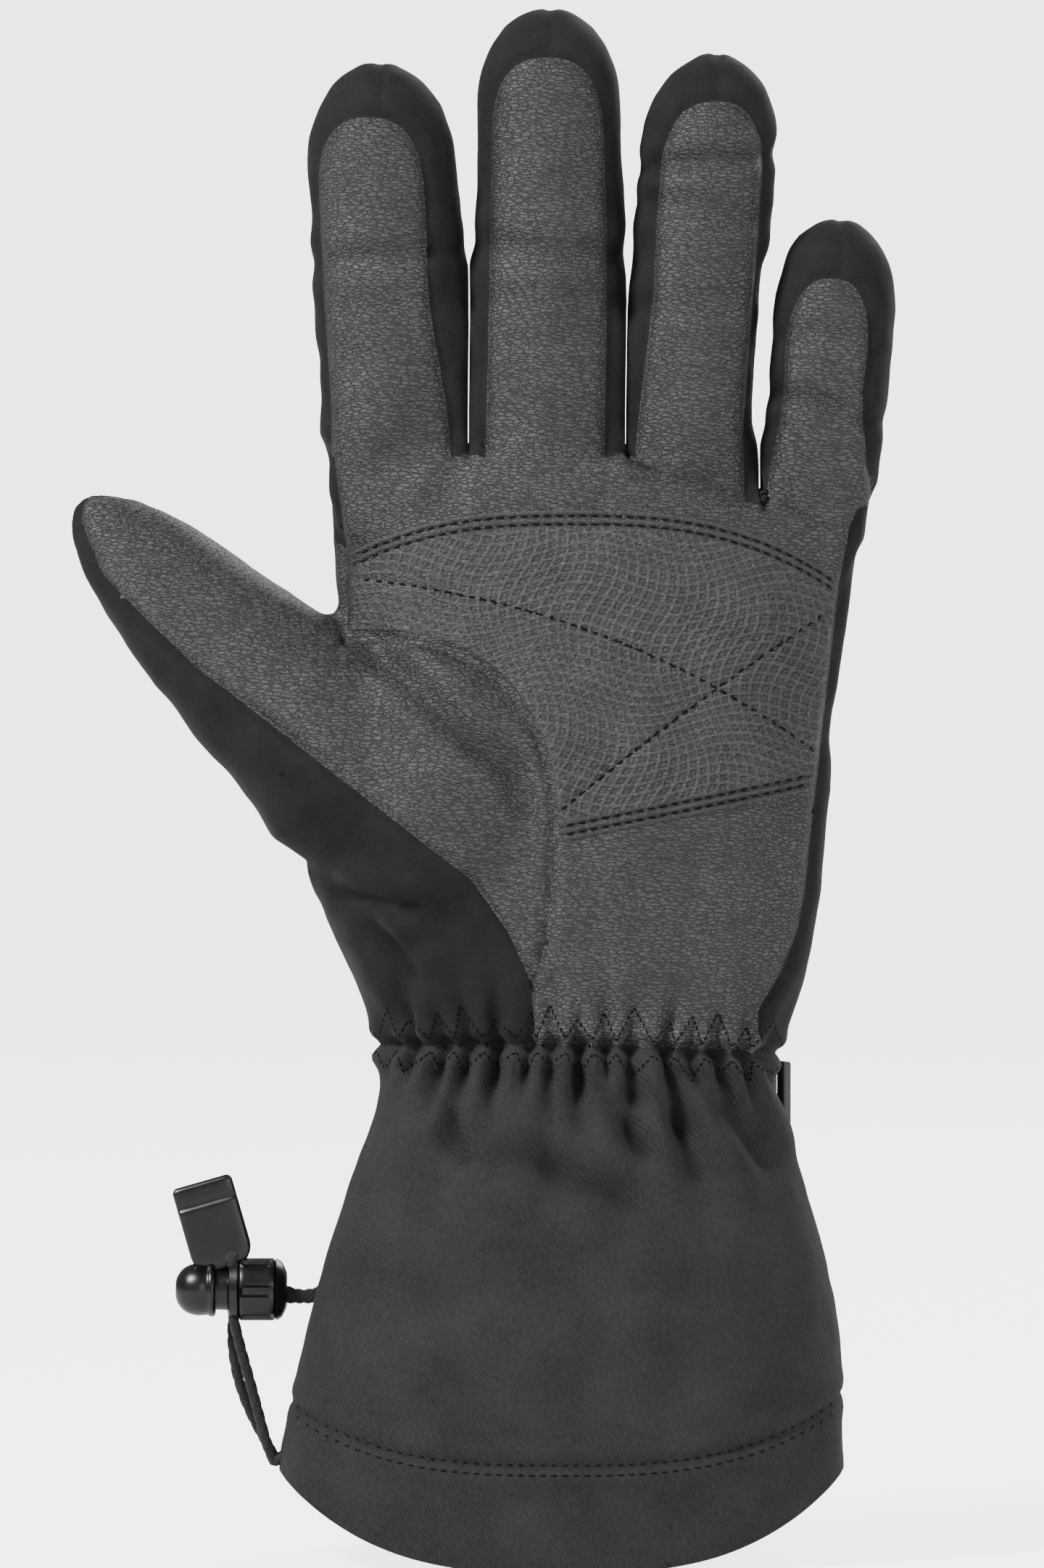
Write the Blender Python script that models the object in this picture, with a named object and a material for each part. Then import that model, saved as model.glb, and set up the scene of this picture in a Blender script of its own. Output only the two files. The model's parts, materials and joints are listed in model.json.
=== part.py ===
"""Padded ski glove for a left hand, standing upright on its cuff hem.

The fingers point to +Z, the palm faces -Y and the thumb points to -X. The origin is
on the plane the hem rests on, between the front and the back of the cuff. Lengths
below are in millimetres and are turned into metres when a mesh is made.

The glove is a set of thin sewn layers. Each layer is a sheet that follows a glove
surface at a stated depth, thickened inwards, so neighbouring layers never touch.
"""

import math

import bmesh
import bpy
from mathutils import Matrix, Vector

MM = 0.001

# The stations below are measured from the wrist's middle; this step puts the origin
# under the middle of the glove's whole width, thumb included
TO_MIDDLE = Vector((17.39, 0.0, 0.0))

# Drawcord: the width of its channel inside the hem band, and its size
HEM_CHANNEL = 3.4
HEM_FACING_THICKNESS = 1.0
CORD_RADIUS = 1.1
CORD_EXIT_Z = 17.5
CORD_ABOVE_HEM = 7.0

# Layers, from the outside in: depth of the outer face and thickness
SHELL = (0.0, 1.0)
MEMBRANE = (1.7, 0.3)
INSULATION = (2.4, 2.2)
LINING = (5.6, 0.8)
STALL_LINER = (1.6, 2.4)
CUFF_LINING = (1.7, 0.8)
WRIST_ELASTIC = (3.3, 1.2)
WRIST_STRAP = (-2.4, 1.3)
SEAM = 0.4

# Heights of the glove
WRIST_Z = 103.0
HEM_SEAM_Z = 21.0
HEM_RISE = 18.0
HEM_SEAM_RISE = 12.0
HEM_FLAT = 0.4
KNUCKLE_Z = 222.5
RING_KNUCKLE_Z = 217.5
LITTLE_KNUCKLE_Z = 212.5
KNUCKLE_SLOPE_X = (11.0, 37.0)
ELASTIC_HEIGHTS = (88.0, 96.0)
STRAP_HEIGHTS = (87.5, 97.5)

# Travel of the joints, in degrees
WRIST_BEND = 20.0
KNUCKLE_BEND = 40.0
FINGER_BEND = 45.0
THUMB_SWING = 30.0
THUMB_BEND = 35.0
JOINT_GAP = 0.35

# Cuff and hand: height, centre x, half width, half depth
CUFF_STATIONS = (
    (20.0, -2.5, 57.1, 36.0),
    (36.0, -0.9, 55.0, 34.5),
    (60.0, 0.1, 50.7, 32.0),
    (83.0, 0.2, 43.0, 28.0),
    (95.0, 0.7, 39.8, 25.5),
    (103.0, 1.2, 40.0, 25.0),
)
HAND_STATIONS = (
    (103.0, 1.2, 40.0, 25.0),
    (113.0, 1.4, 43.4, 25.0),
    (136.0, -0.3, 49.6, 24.0),
    (160.0, 1.8, 49.2, 22.5),
    (188.0, 4.1, 51.1, 20.0),
    (206.0, 4.5, 53.0, 17.5),
    (222.0, 4.9, 54.3, 15.6),
)
CUFF_POWER = 2.3
HAND_POWER = 2.6
FINGER_POWER = 2.3
HEM_MIDDLE_X = CUFF_STATIONS[0][1]
HEM_HALF_WIDTH = CUFF_STATIONS[0][2]

# Grid lines round the cuff and hand, in degrees: the side seams are at -20 and 200, and
# the slit that the drawcord leaves by is the cell between 174 and 186
BACK_ANGLES = (-20, -4, 12, 32, 55, 78, 102, 125, 148, 174, 186, 200)
FRONT_ANGLES = (200, 214, 234, 258, 282, 306, 326, 340)
STRAP_ANGLES = (40, 58, 78, 102, 125, 145)
CORD_EXIT_ANGLE = 174
HAND_BACK_ANGLES = (-20, 0, 24, 60, 90, 124, 150, 168, 200)
HAND_FRONT_ANGLES = (200, 214, 240, 270, 300, 322, 340)
GAP_ANGLE = 1.4

# Grid lines up the cuff and hand, as fractions, and the cells of the thumb's opening
CUFF_ROWS = (0, 0.28, 0.54, 0.74, 0.88, 1)
HEM_ROWS = (0, 0.35, 0.65, 1)
HAND_ROWS = (0, 0.14, 0.27, 0.46, 0.66, 0.84, 1)
THUMB_ROWS = (2, 3)
THUMB_HOLE = (168, 214)

# Grip patch: its corners along x, and its height over the palm
PATCH_COLUMNS = (-40.0, -34.0, -26.0, -17.0, -9.0, -4.5, -2.5, 6.0, 15.0, 25.0, 35.0, 43.0, 48.0)
PATCH_LIFT = 2.1
PATCH_THICKNESS = 1.0

# Thenar leather: middle and half size of its seam, and how far it bulges
THENAR_MIDDLE = (-24.0, 156.0)
THENAR_HALF = (20.5, 30.0)
THENAR_INNER_X = -40.0
THENAR_BULGE = 3.0

# Fingers: knuckle height, middle joint height, tip height, centre x at knuckle, middle
# joint and tip, half width at knuckle and middle joint, length of the rounded tip
FINGERS = {
    "index": (KNUCKLE_Z, 257.0, 301.0, -36.1, -37.2, -39.2, 14.1, 15.2, 23.0),
    "middle": (KNUCKLE_Z, 260.0, 312.0, -5.3, -4.5, -5.0, 14.9, 14.9, 19.0),
    "ring": (RING_KNUCKLE_Z, 258.0, 302.8, 23.9, 25.6, 28.5, 12.5, 14.0, 20.0),
    "little": (LITTLE_KNUCKLE_Z, 235.0, 269.4, 49.0, 51.2, 53.3, 11.2, 13.1, 19.5),
}
FINGER_FLATNESS = 0.9
FINGER_AXIS_Y = 2.0
FINGER_BACK_ANGLES = (-35, 0, 45, 90, 135, 180, 215)
FINGER_FRONT_ANGLES = (215, 245, 270, 295, 325)
FINGER_GAP_ANGLE = 2.4
FACE_ROWS = (0, 0.32, 0.66, 1.0)
CAP_ROWS = (1.45, 1.8)
FACE_TOP_SHARE = 0.48

# The ring finger's hinge is off its sloping edge, so that edge keeps more room
RING_SLACK = 1.2

# Forks: the gussets in the crotches between the fingers
FORKS = {"fork_index_middle": -21.1, "fork_middle_ring": 10.4, "fork_ring_little": 37.2}
FORK_HALF_WIDTH = 2.6
FORK_HALF_DEPTH = 6.6
FORK_DROP = 2.4
FORK_CLEARANCE = 1.4
FORK_THICKNESS = 0.8

# Thumb: axis point where it leaves the hand, direction, size along its own length
THUMB_ROOT = Vector((-60.5, -4.0, 175.1))
THUMB_ALONG = Vector((-0.723, 0.0, 0.691)).normalized()
THUMB_ACROSS = Vector((0.691, 0.0, 0.723)).normalized()
THUMB_LENGTH = 53.0
THUMB_HALF = 17.6
THUMB_TAPER = 0.155
THUMB_DOME = 22.0
THUMB_BEND_AT = 24.0
THUMB_FLATNESS = 0.84
THUMB_FRONT_ANGLES = (190, 215, 245, 270, 300, 330, 370)
THUMB_BACK_ANGLES = (10, 45, 80, 115, 150, 190)
THUMB_FACE_ROWS = (0, 0.3, 0.55, 0.76)
THUMB_CAP_ROWS = (0.78, 0.88, 0.96)
THUMB_ROOT_EDGE = -44.5
THUMB_ROOT_CLEARANCE = 2.2
THUMB_LINER_CLEARANCE = 4.6

# Cord lock: the middle of its plunger, the end by the cuff, and the sizes of its parts
LOCK_AXIS = Vector((-68.4, 0.0, 53.6))
LOCK_FRONT = 2.4
LOCK_END_X = -57.6
LOCK_RADIUS = 6.4
LOCK_BORE = 4.2
LOCK_WALL = 1.4
PLUNGER_TRAVEL = 2.2
PLUNGER_GAP = 0.5
SPRING_RADIUS = 2.8
SPRING_WIRE = 0.3
TETHER_RADIUS = 1.2
STRAND_OFFSET = 2.7
STRAND_HOLE = 1.6

# Pull tab: size, lean and middle
TAB_SIZE = (11.7, 3.4, 17.4)
TAB_TILT = 16.0
TAB_CENTRE = Vector((-73.0, 0.0, 68.9))

# Buckle: frame width, thickness and height, its two slots, and how it leans from the strap
BUCKLE_SIZE = (12.0, 2.2, 13.0)
BUCKLE_SLOT = (2.6, 6.6, 9.6)
BUCKLE_SLOT_STEP = 2.6
BUCKLE_LEAN = 50.0
BUCKLE_ANGLE = 38.0
BUCKLE_LIFT = 4.2

COLOURS = {
    "leather": ((0.075, 0.077, 0.08), 0.55, 0.0),
    "softshell": ((0.022, 0.023, 0.026), 0.8, 0.0),
    "twill": ((0.03, 0.032, 0.036), 0.85, 0.0),
    "lining": ((0.02, 0.02, 0.022), 0.95, 0.0),
    "membrane": ((0.75, 0.77, 0.78), 0.4, 0.0),
    "insulation": ((0.8, 0.8, 0.78), 0.95, 0.0),
    "hardware": ((0.008, 0.008, 0.009), 0.3, 0.0),
    "buckle_plastic": ((0.06, 0.06, 0.065), 0.4, 0.0),
    "cord": ((0.01, 0.01, 0.011), 0.7, 0.0),
    "spring_steel": ((0.6, 0.6, 0.6), 0.3, 1.0),
}


# ---------------------------------------------------------------- helpers


def clear_scene():
    for obj in list(bpy.data.objects):
        bpy.data.objects.remove(obj, do_unlink=True)


def material(slot):
    """The slot's Principled material, made once."""
    found = bpy.data.materials.get(slot)
    if found:
        return found
    colour, roughness, metallic = COLOURS[slot]
    made = bpy.data.materials.new(slot)
    made.use_nodes = True
    shader = made.node_tree.nodes["Principled BSDF"]
    shader.inputs["Base Color"].default_value = (*colour, 1.0)
    shader.inputs["Roughness"].default_value = roughness
    shader.inputs["Metallic"].default_value = metallic
    return made


def add_object(name, bm, slot, at=Vector((0, 0, 0)), smooth=True, is_sheet=False):
    """Makes a named object from millimetre geometry, with its origin at a point."""
    bmesh.ops.translate(bm, verts=bm.verts, vec=-at)
    bmesh.ops.scale(bm, verts=bm.verts, vec=(MM, MM, MM))
    at = at + TO_MIDDLE
    if not is_sheet:
        bmesh.ops.recalc_face_normals(bm, faces=bm.faces)
    mesh = bpy.data.meshes.new(name)
    bm.to_mesh(mesh)
    bm.free()
    obj = bpy.data.objects.new(name, mesh)
    obj.location = at * MM
    mesh.materials.append(material(slot))
    if smooth:
        mesh.shade_smooth()
        mesh.set_sharp_from_angle(angle=math.radians(40))
    bpy.context.scene.collection.objects.link(obj)
    return obj


def between(stations, z):
    """Values of the stations at height z, eased so that the outline has no corners."""
    z = min(max(z, stations[0][0]), stations[-1][0])
    for i in range(len(stations) - 1):
        low, high = stations[i], stations[i + 1]
        if z <= high[0]:
            break
    before = stations[max(i - 1, 0)]
    after = stations[min(i + 2, len(stations) - 1)]
    span = high[0] - low[0]
    t = (z - low[0]) / span
    values = []
    for k in range(1, len(low)):
        slope_low = (high[k] - before[k]) / (high[0] - before[0]) * span
        slope_high = (after[k] - low[k]) / (after[0] - low[0]) * span
        values.append(
            (2 * t**3 - 3 * t**2 + 1) * low[k]
            + (t**3 - 2 * t**2 + t) * slope_low
            + (3 * t**2 - 2 * t**3) * high[k]
            + (t**3 - t**2) * slope_high
        )
    return values


def oval(angle, half_width, half_depth, power):
    """A point on a rounded oval; 0 degrees is +X and 90 degrees is +Y."""
    c = math.cos(math.radians(angle))
    s = math.sin(math.radians(angle))
    x = half_width * math.copysign(abs(c) ** (2 / power), c)
    y = half_depth * math.copysign(abs(s) ** (2 / power), s)
    return x, y


def sheet(angles, rows, point, keep=None, closed=False, tip=None):
    """A sheet of faces over a grid of angles and rows.

    point(angle, row) gives each corner, keep(i, j) says which cells are cloth, and
    tip, when given, is the point that closes the last row."""
    bm = bmesh.new()
    grid = [[bm.verts.new(point(a, r)) for a in angles] for r in rows]
    columns = len(angles) if closed else len(angles) - 1
    for j in range(len(rows) - 1):
        for i in range(columns):
            if keep and not keep(i, j):
                continue
            k = (i + 1) % len(angles)
            bm.faces.new((grid[j][i], grid[j][k], grid[j + 1][k], grid[j + 1][i]))
    if tip is not None:
        top = bm.verts.new(tip)
        for i in range(columns):
            k = (i + 1) % len(angles)
            bm.faces.new((grid[-1][i], grid[-1][k], top))
    loose = [v for v in bm.verts if not v.link_faces]
    bmesh.ops.delete(bm, geom=loose, context="VERTS")
    return bm


def thicken(obj, thickness):
    """Gives a sheet its thickness, inwards from its outer face."""
    modifier = obj.modifiers.new("thickness", "SOLIDIFY")
    modifier.thickness = thickness * MM
    modifier.offset = -1.0
    modifier.use_even_offset = True
    modifier.use_rim = True


def layer(name, bm, slot, thickness, at=Vector((0, 0, 0))):
    obj = add_object(name, bm, slot, at, is_sheet=True)
    thicken(obj, thickness)
    return obj


def tube_along(points, radius, sides=8):
    """A closed round cord or wire swept along a list of points."""
    bm = bmesh.new()
    rings = []
    side = Vector((0, 1, 0))
    for i, point in enumerate(points):
        ahead = points[min(i + 1, len(points) - 1)] - points[max(i - 1, 0)]
        ahead.normalize()
        side = (side - ahead * side.dot(ahead)).normalized()
        up = ahead.cross(side)
        ring = []
        for k in range(sides):
            turn = 2 * math.pi * k / sides
            ring.append(bm.verts.new(point + (side * math.cos(turn) + up * math.sin(turn)) * radius))
        rings.append(ring)
    for low, high in zip(rings, rings[1:]):
        for k in range(sides):
            n = (k + 1) % sides
            bm.faces.new((low[k], low[n], high[n], high[k]))
    bm.faces.new(rings[0][::-1])
    bm.faces.new(rings[-1])
    return bm


def turned(profile, sides=20):
    """A solid turned about the X axis from (x, radius) points; ends are at radius 0."""
    bm = bmesh.new()
    rings = []
    for x, radius in profile:
        if radius == 0:
            rings.append([bm.verts.new((x, 0, 0))])
            continue
        ring = []
        for k in range(sides):
            turn = 2 * math.pi * k / sides
            ring.append(bm.verts.new((x, radius * math.cos(turn), radius * math.sin(turn))))
        rings.append(ring)
    for low, high in zip(rings, rings[1:]):
        for k in range(sides):
            n = (k + 1) % sides
            corners = [low[k % len(low)], low[n % len(low)], high[n % len(high)], high[k % len(high)]]
            bm.faces.new(list(dict.fromkeys(corners)))
    return bm


def rounded_box(size, bevel, segments=2):
    bm = bmesh.new()
    bmesh.ops.create_cube(bm, size=1.0)
    bmesh.ops.scale(bm, verts=bm.verts, vec=size)
    bmesh.ops.bevel(bm, geom=bm.edges[:], offset=bevel, segments=segments, profile=0.5, affect="EDGES")
    return bm


def cutter(name, bm, at=Vector((0, 0, 0))):
    obj = add_object(name, bm, "hardware", at, smooth=False)
    obj.hide_render = True
    obj.display_type = "WIRE"
    return obj


def cut(obj, tool):
    modifier = obj.modifiers.new("cut_" + tool.name, "BOOLEAN")
    modifier.operation = "DIFFERENCE"
    modifier.object = tool


def mitre(depth, degrees):
    """How far an edge steps back from a hinge so that the joint can close by an angle."""
    return max(depth, 0.0) * math.tan(math.radians(degrees / 2))


# ---------------------------------------------------------------- cuff


def hem_height(x):
    """The hem is flat at the front and back and rises towards the sides."""
    reach = min(abs(x - HEM_MIDDLE_X) / HEM_HALF_WIDTH, 1.0)
    return max(0.0, HEM_RISE * reach**3 - HEM_FLAT)


def hem_seam_height(x):
    reach = min(abs(x - HEM_MIDDLE_X) / HEM_HALF_WIDTH, 1.0)
    return HEM_SEAM_Z + HEM_SEAM_RISE * reach**3


def above_hem_seam(x):
    return hem_seam_height(x) + SEAM / 2


def below_hem_seam(angle):
    return hem_seam_height(cuff_point(angle, HEM_SEAM_Z, 0).x) - SEAM / 2


def cuff_point(angle, z, depth):
    centre, width, half_depth = between(CUFF_STATIONS, z)
    x, y = oval(angle, width - depth, half_depth - depth, CUFF_POWER)
    return Vector((centre + x, y, z))


def cuff_top(angle, depth):
    y = cuff_point(angle, WRIST_Z, depth).y
    return WRIST_Z - JOINT_GAP - mitre(abs(y), WRIST_BEND)


def cuff_row(depth, bottom, top=None):
    """Row function of the cuff: fraction 0 is the bottom curve and 1 is the top edge."""

    def point(angle, t):
        low = cuff_point(angle, HEM_SEAM_Z, depth)
        z_low = bottom(low.x)
        z_high = top(angle) if top else cuff_top(angle, depth)
        return cuff_point(angle, z_low + (z_high - z_low) * t, depth)

    return point


def all_round(front, back):
    """Grid lines of a closed layer, from a front panel's and a back panel's."""
    return front[:-1] + tuple(a + 360 for a in back[:-1])


def inset_ends(angles, gap=GAP_ANGLE):
    """The angles of a panel, with its two side edges pulled in from the seams."""
    return (angles[0] + gap,) + tuple(angles[1:-1]) + (angles[-1] - gap,)


def make_cuff():
    for name, angles in (("cuff_front_panel", FRONT_ANGLES), ("cuff_back_panel", BACK_ANGLES)):
        bm = sheet(inset_ends(angles), CUFF_ROWS, cuff_row(SHELL[0], above_hem_seam))
        layer(name, bm, "twill", SHELL[1])

    around = all_round(FRONT_ANGLES, BACK_ANGLES)
    depth, thickness = CUFF_LINING
    bm = sheet(around, CUFF_ROWS, cuff_row(depth, above_hem_seam), closed=True)
    layer("cuff_lining", bm, "lining", thickness)

    exit_cell = around.index(CORD_EXIT_ANGLE + 360)

    def is_cloth(i, j):
        return not (i == exit_cell and j == 0)

    outer = cuff_row(SHELL[0], hem_height, below_hem_seam)
    bm = sheet(around, HEM_ROWS, outer, keep=is_cloth, closed=True)
    layer("hem_band", bm, "twill", SHELL[1])

    inner = cuff_row(HEM_CHANNEL + SHELL[1], hem_height, below_hem_seam)
    bm = sheet(around, (0, 0.5, 1), inner, closed=True)
    layer("hem_facing", bm, "lining", HEM_FACING_THICKNESS)


# ---------------------------------------------------------------- hand


def knuckle_height(x):
    """Height of the knuckle line; it slopes down under the ring finger."""
    start, end = KNUCKLE_SLOPE_X
    step = min(max((x - start) / (end - start), 0.0), 1.0)
    return KNUCKLE_Z + (LITTLE_KNUCKLE_Z - KNUCKLE_Z) * step


def hand_point(angle, z, depth):
    centre, width, half_depth = between(HAND_STATIONS, z)
    x, y = oval(angle, width - depth, half_depth - depth, HAND_POWER)
    return Vector((centre + x, y, z))


def hand_row(depth):
    """Row function of the hand: fraction 0 is the wrist edge and 1 is the knuckle edge."""

    def point(angle, t):
        wrist = hand_point(angle, WRIST_Z, depth)
        low = WRIST_Z + JOINT_GAP + mitre(abs(wrist.y), WRIST_BEND)
        top = hand_point(angle, KNUCKLE_Z, depth)
        high = knuckle_height(top.x) - JOINT_GAP - mitre(FINGER_AXIS_Y - top.y, KNUCKLE_BEND)
        return hand_point(angle, low + (high - low) * t, depth)

    return point


def hand_cloth(angles):
    """Says which cells are cloth: the thumb opening is left out."""

    def keep(i, j):
        angle = angles[i] % 360
        in_hole = THUMB_HOLE[0] - 1 <= angle < THUMB_HOLE[1] - 1
        return not (in_hole and j in THUMB_ROWS)

    return keep


def make_hand():
    for name, slot, angles in (
        ("palm_leather", "leather", HAND_FRONT_ANGLES),
        ("back_shell", "softshell", HAND_BACK_ANGLES),
    ):
        bm = sheet(inset_ends(angles), HAND_ROWS, hand_row(SHELL[0]), keep=hand_cloth(angles))
        layer(name, bm, slot, SHELL[1])

    around = all_round(HAND_FRONT_ANGLES, HAND_BACK_ANGLES)
    for name, slot, (depth, thickness) in (
        ("waterproof_membrane", "membrane", MEMBRANE),
        ("hand_insulation", "insulation", INSULATION),
        ("hand_lining", "lining", LINING),
    ):
        bm = sheet(around, HAND_ROWS, hand_row(depth), keep=hand_cloth(around), closed=True)
        layer(name, bm, slot, thickness)


def palm_surface(x, z, lift):
    """A point on the palm's outer face at x and z, lifted off it towards the front."""
    centre, width, half_depth = between(HAND_STATIONS, z)
    reach = min(abs((x - centre) / width), 0.97)
    y = half_depth * (1 - reach**HAND_POWER) ** (1 / HAND_POWER)
    return Vector((x, -y - lift, z))


def patch_top(x):
    """Upper edge of the grip patch: an arch that is highest over the middle of the palm."""
    return 210.5 - 13.8 * ((x - 3.0) / 49.0) ** 2


def patch_bottom(x):
    """Lower edge of the grip patch: it follows the thenar seam, then climbs to the side."""
    middle_x, middle_z = THENAR_MIDDLE
    half_x, half_z = THENAR_HALF
    reach = (x - middle_x) / (half_x + 1.5)
    if x < middle_x + half_x:
        return middle_z + (half_z + 1.5) * math.sqrt(1 - reach**2)
    return 145.3 + 0.2 * (x - middle_x - half_x)


def patch_point(x, t):
    """A point of the grip patch: fraction 0 is its lower edge and 1 is its upper edge."""
    low = patch_bottom(x)
    return palm_surface(x, low + (patch_top(x) - low) * t, PATCH_LIFT)


def thenar_edge(t):
    """Seam of the thumb's leather on the palm, from the web (0) to the wrist (1)."""
    turn = math.radians(100 - 165 * t)
    x = THENAR_MIDDLE[0] + THENAR_HALF[0] * math.cos(turn)
    z = THENAR_MIDDLE[1] + THENAR_HALF[1] * math.sin(turn)
    return x, z


def thenar_point(t, across):
    """A point of the thenar leather: across 0 is by the thumb and 1 is its seam."""
    edge_x, edge_z = thenar_edge(t)
    inner_z = THENAR_MIDDLE[1] + (edge_z - THENAR_MIDDLE[1]) * 0.85
    x = THENAR_INNER_X + (edge_x - THENAR_INNER_X) * across
    z = inner_z + (edge_z - inner_z) * across
    return palm_surface(x, z, PATCH_LIFT + THENAR_BULGE * (1 - across) ** 2)


def make_overlays():
    bm = sheet(PATCH_COLUMNS, (0, 0.25, 0.5, 0.75, 1), patch_point)
    flip_to_front(bm)
    layer("grip_patch", bm, "leather", PATCH_THICKNESS)

    bm = sheet((0, 0.17, 0.33, 0.5, 0.67, 0.83, 1), (0, 0.35, 0.7, 1), thenar_point)
    flip_to_front(bm)
    layer("thenar_leather", bm, "leather", PATCH_THICKNESS)


def flip_to_front(bm):
    """Turns an open sheet so that its outer face looks to -Y."""
    bm.normal_update()
    if sum(f.normal.y * f.calc_area() for f in bm.faces) > 0:
        bmesh.ops.reverse_faces(bm, faces=bm.faces)


# ---------------------------------------------------------------- fingers


def finger_shape(finger, z):
    """Centre x, half width and half depth of a finger at a height."""
    low_z, mid_z, tip_z, low_x, mid_x, tip_x, low_w, mid_w, dome = FINGERS[finger]
    if z < mid_z:
        t = (z - low_z) / (mid_z - low_z)
        centre = low_x + (mid_x - low_x) * t
        width = low_w + (mid_w - low_w) * max(t, 0)
    else:
        t = (z - mid_z) / (tip_z - mid_z)
        centre = mid_x + (tip_x - mid_x) * t
        width = mid_w
    reach = min(max((z - (tip_z - dome)) / dome, 0.0), 1.0)
    width *= math.sqrt(max(1 - reach**2, 0.0))
    return centre, width, width * FINGER_FLATNESS


def finger_point(finger, angle, z, depth):
    """A point of a finger layer; a deeper layer ends lower, by its depth."""
    tip_z = FINGERS[finger][2]
    dome = FINGERS[finger][8]
    dome_z = tip_z - dome
    scaled = z
    if z > dome_z:
        scaled = dome_z + (z - dome_z) * dome / (dome - depth)
    centre, width, half_depth = finger_shape(finger, min(scaled, tip_z - 0.2))
    shrink = 1.0 if z <= dome_z else width / finger_shape(finger, dome_z)[1]
    x, y = oval(angle, width - depth * shrink, half_depth - depth * shrink, FINGER_POWER)
    return Vector((centre + x, y, z))


def segment_rows(finger, depth, low_z, low_bend, high_z, high_bend):
    """Row function of a finger part between two joints, both edges mitred."""

    def point(angle, t):
        edge = finger_point(finger, angle, low_z, depth)
        slack = RING_SLACK if finger == "ring" else 0.0
        low = knuckle_height(edge.x) + slack + JOINT_GAP + mitre(FINGER_AXIS_Y - edge.y, low_bend)
        high_y = finger_point(finger, angle, high_z, depth).y
        high = high_z - JOINT_GAP - mitre(FINGER_AXIS_Y - high_y, high_bend)
        return finger_point(finger, angle, low + (high - low) * t, depth)

    return point


def capped(angles, open_angles, rows, cap_rows, point, tip):
    """A panel over some angles that also wraps the whole tip past the last of its rows."""
    left = open_angles[0] - FINGER_GAP_ANGLE
    right = open_angles[-1] + FINGER_GAP_ANGLE
    rest = tuple(a if a > right else a + 360 for a in angles[1:-1])
    around = (left,) + tuple(open_angles[1:-1]) + (right,) + rest
    in_open = len(open_angles) - 1

    def keep(i, j):
        return not (i < in_open and j < len(rows))

    return sheet(around, rows + cap_rows, point, keep=keep, closed=True, tip=tip)


def face_top(finger):
    """Height where a finger's leather face ends, on the rounded tip."""
    tip_z, dome = FINGERS[finger][2], FINGERS[finger][8]
    return tip_z - FACE_TOP_SHARE * dome


def upper_rows(finger, depth):
    """Row function above the middle joint: 0 is the joint, 1 the face's top, 2 the tip."""
    mid_z, tip_z = FINGERS[finger][1:3]
    top = face_top(finger)

    def point(angle, t):
        low_y = finger_point(finger, angle, mid_z, depth).y
        low = mid_z + JOINT_GAP + mitre(FINGER_AXIS_Y - low_y, FINGER_BEND)
        if t <= 1:
            return finger_point(finger, angle, low + (top - low) * t, depth)
        return finger_point(finger, angle, top + (tip_z - depth - top) * (t - 1), depth)

    return point


def make_finger(finger):
    low_z, mid_z, tip_z, low_x, mid_x, tip_x = FINGERS[finger][:6]
    around = all_round(FINGER_FRONT_ANGLES, FINGER_BACK_ANGLES)
    front = inset_ends(FINGER_FRONT_ANGLES, FINGER_GAP_ANGLE)
    back = inset_ends(FINGER_BACK_ANGLES, FINGER_GAP_ANGLE)
    depth, thickness = STALL_LINER
    rows = (0, 0.5, 1)

    hinge = Vector((low_x, FINGER_AXIS_Y, low_z))
    outer = segment_rows(finger, SHELL[0], low_z, KNUCKLE_BEND, mid_z, FINGER_BEND)
    inner = segment_rows(finger, depth, low_z, KNUCKLE_BEND, mid_z, FINGER_BEND)
    layer(finger + "_palm_lower", sheet(front, rows, outer), "leather", SHELL[1], hinge)
    layer(finger + "_back_lower", sheet(back, rows, outer), "softshell", SHELL[1], hinge)
    liner = sheet(around, rows, inner, closed=True)
    layer(finger + "_liner_lower", liner, "insulation", thickness, hinge)

    hinge = Vector((mid_x, FINGER_AXIS_Y, mid_z))
    tip = Vector((tip_x, 0, tip_z))
    outer = upper_rows(finger, SHELL[0])
    inner = upper_rows(finger, depth)
    above_face = 1 + SEAM / (tip_z - face_top(finger))
    layer(finger + "_palm_upper", sheet(front, FACE_ROWS, outer), "leather", SHELL[1], hinge)
    bm = capped(
        FINGER_BACK_ANGLES, FINGER_FRONT_ANGLES, FACE_ROWS, (above_face,) + CAP_ROWS, outer, tip
    )
    layer(finger + "_back_upper", bm, "softshell", SHELL[1], hinge)
    liner_tip = tip - Vector((0, 0, depth))
    liner = sheet(around, FACE_ROWS + CAP_ROWS, inner, closed=True, tip=liner_tip)
    layer(finger + "_liner_upper", liner, "insulation", thickness, hinge)


def make_fork(name, x):
    """The gusset at the crotch between two fingers: a saddle from the palm to the back."""

    def point(across, along):
        y = along * FORK_HALF_DEPTH
        edge = x + across * FORK_HALF_WIDTH
        top = min(knuckle_height(x - FORK_HALF_WIDTH), knuckle_height(x + FORK_HALF_WIDTH))
        drop = mitre(FINGER_AXIS_Y - y, KNUCKLE_BEND) + FORK_DROP * (1 - across**2)
        return Vector((edge, y, top - FORK_CLEARANCE - drop))

    bm = sheet((-1, -0.5, 0, 0.5, 1), (-1, 0, 1), point)
    bm.normal_update()
    if sum(f.normal.z for f in bm.faces) < 0:
        bmesh.ops.reverse_faces(bm, faces=bm.faces)
    layer(name, bm, "softshell", FORK_THICKNESS)


# ---------------------------------------------------------------- thumb


def thumb_half(s):
    width = THUMB_HALF - THUMB_TAPER * s
    reach = min(max((s - (THUMB_LENGTH - THUMB_DOME)) / THUMB_DOME, 0.0), 1.0)
    return width * math.sqrt(max(1 - reach**2, 0.0))


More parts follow.
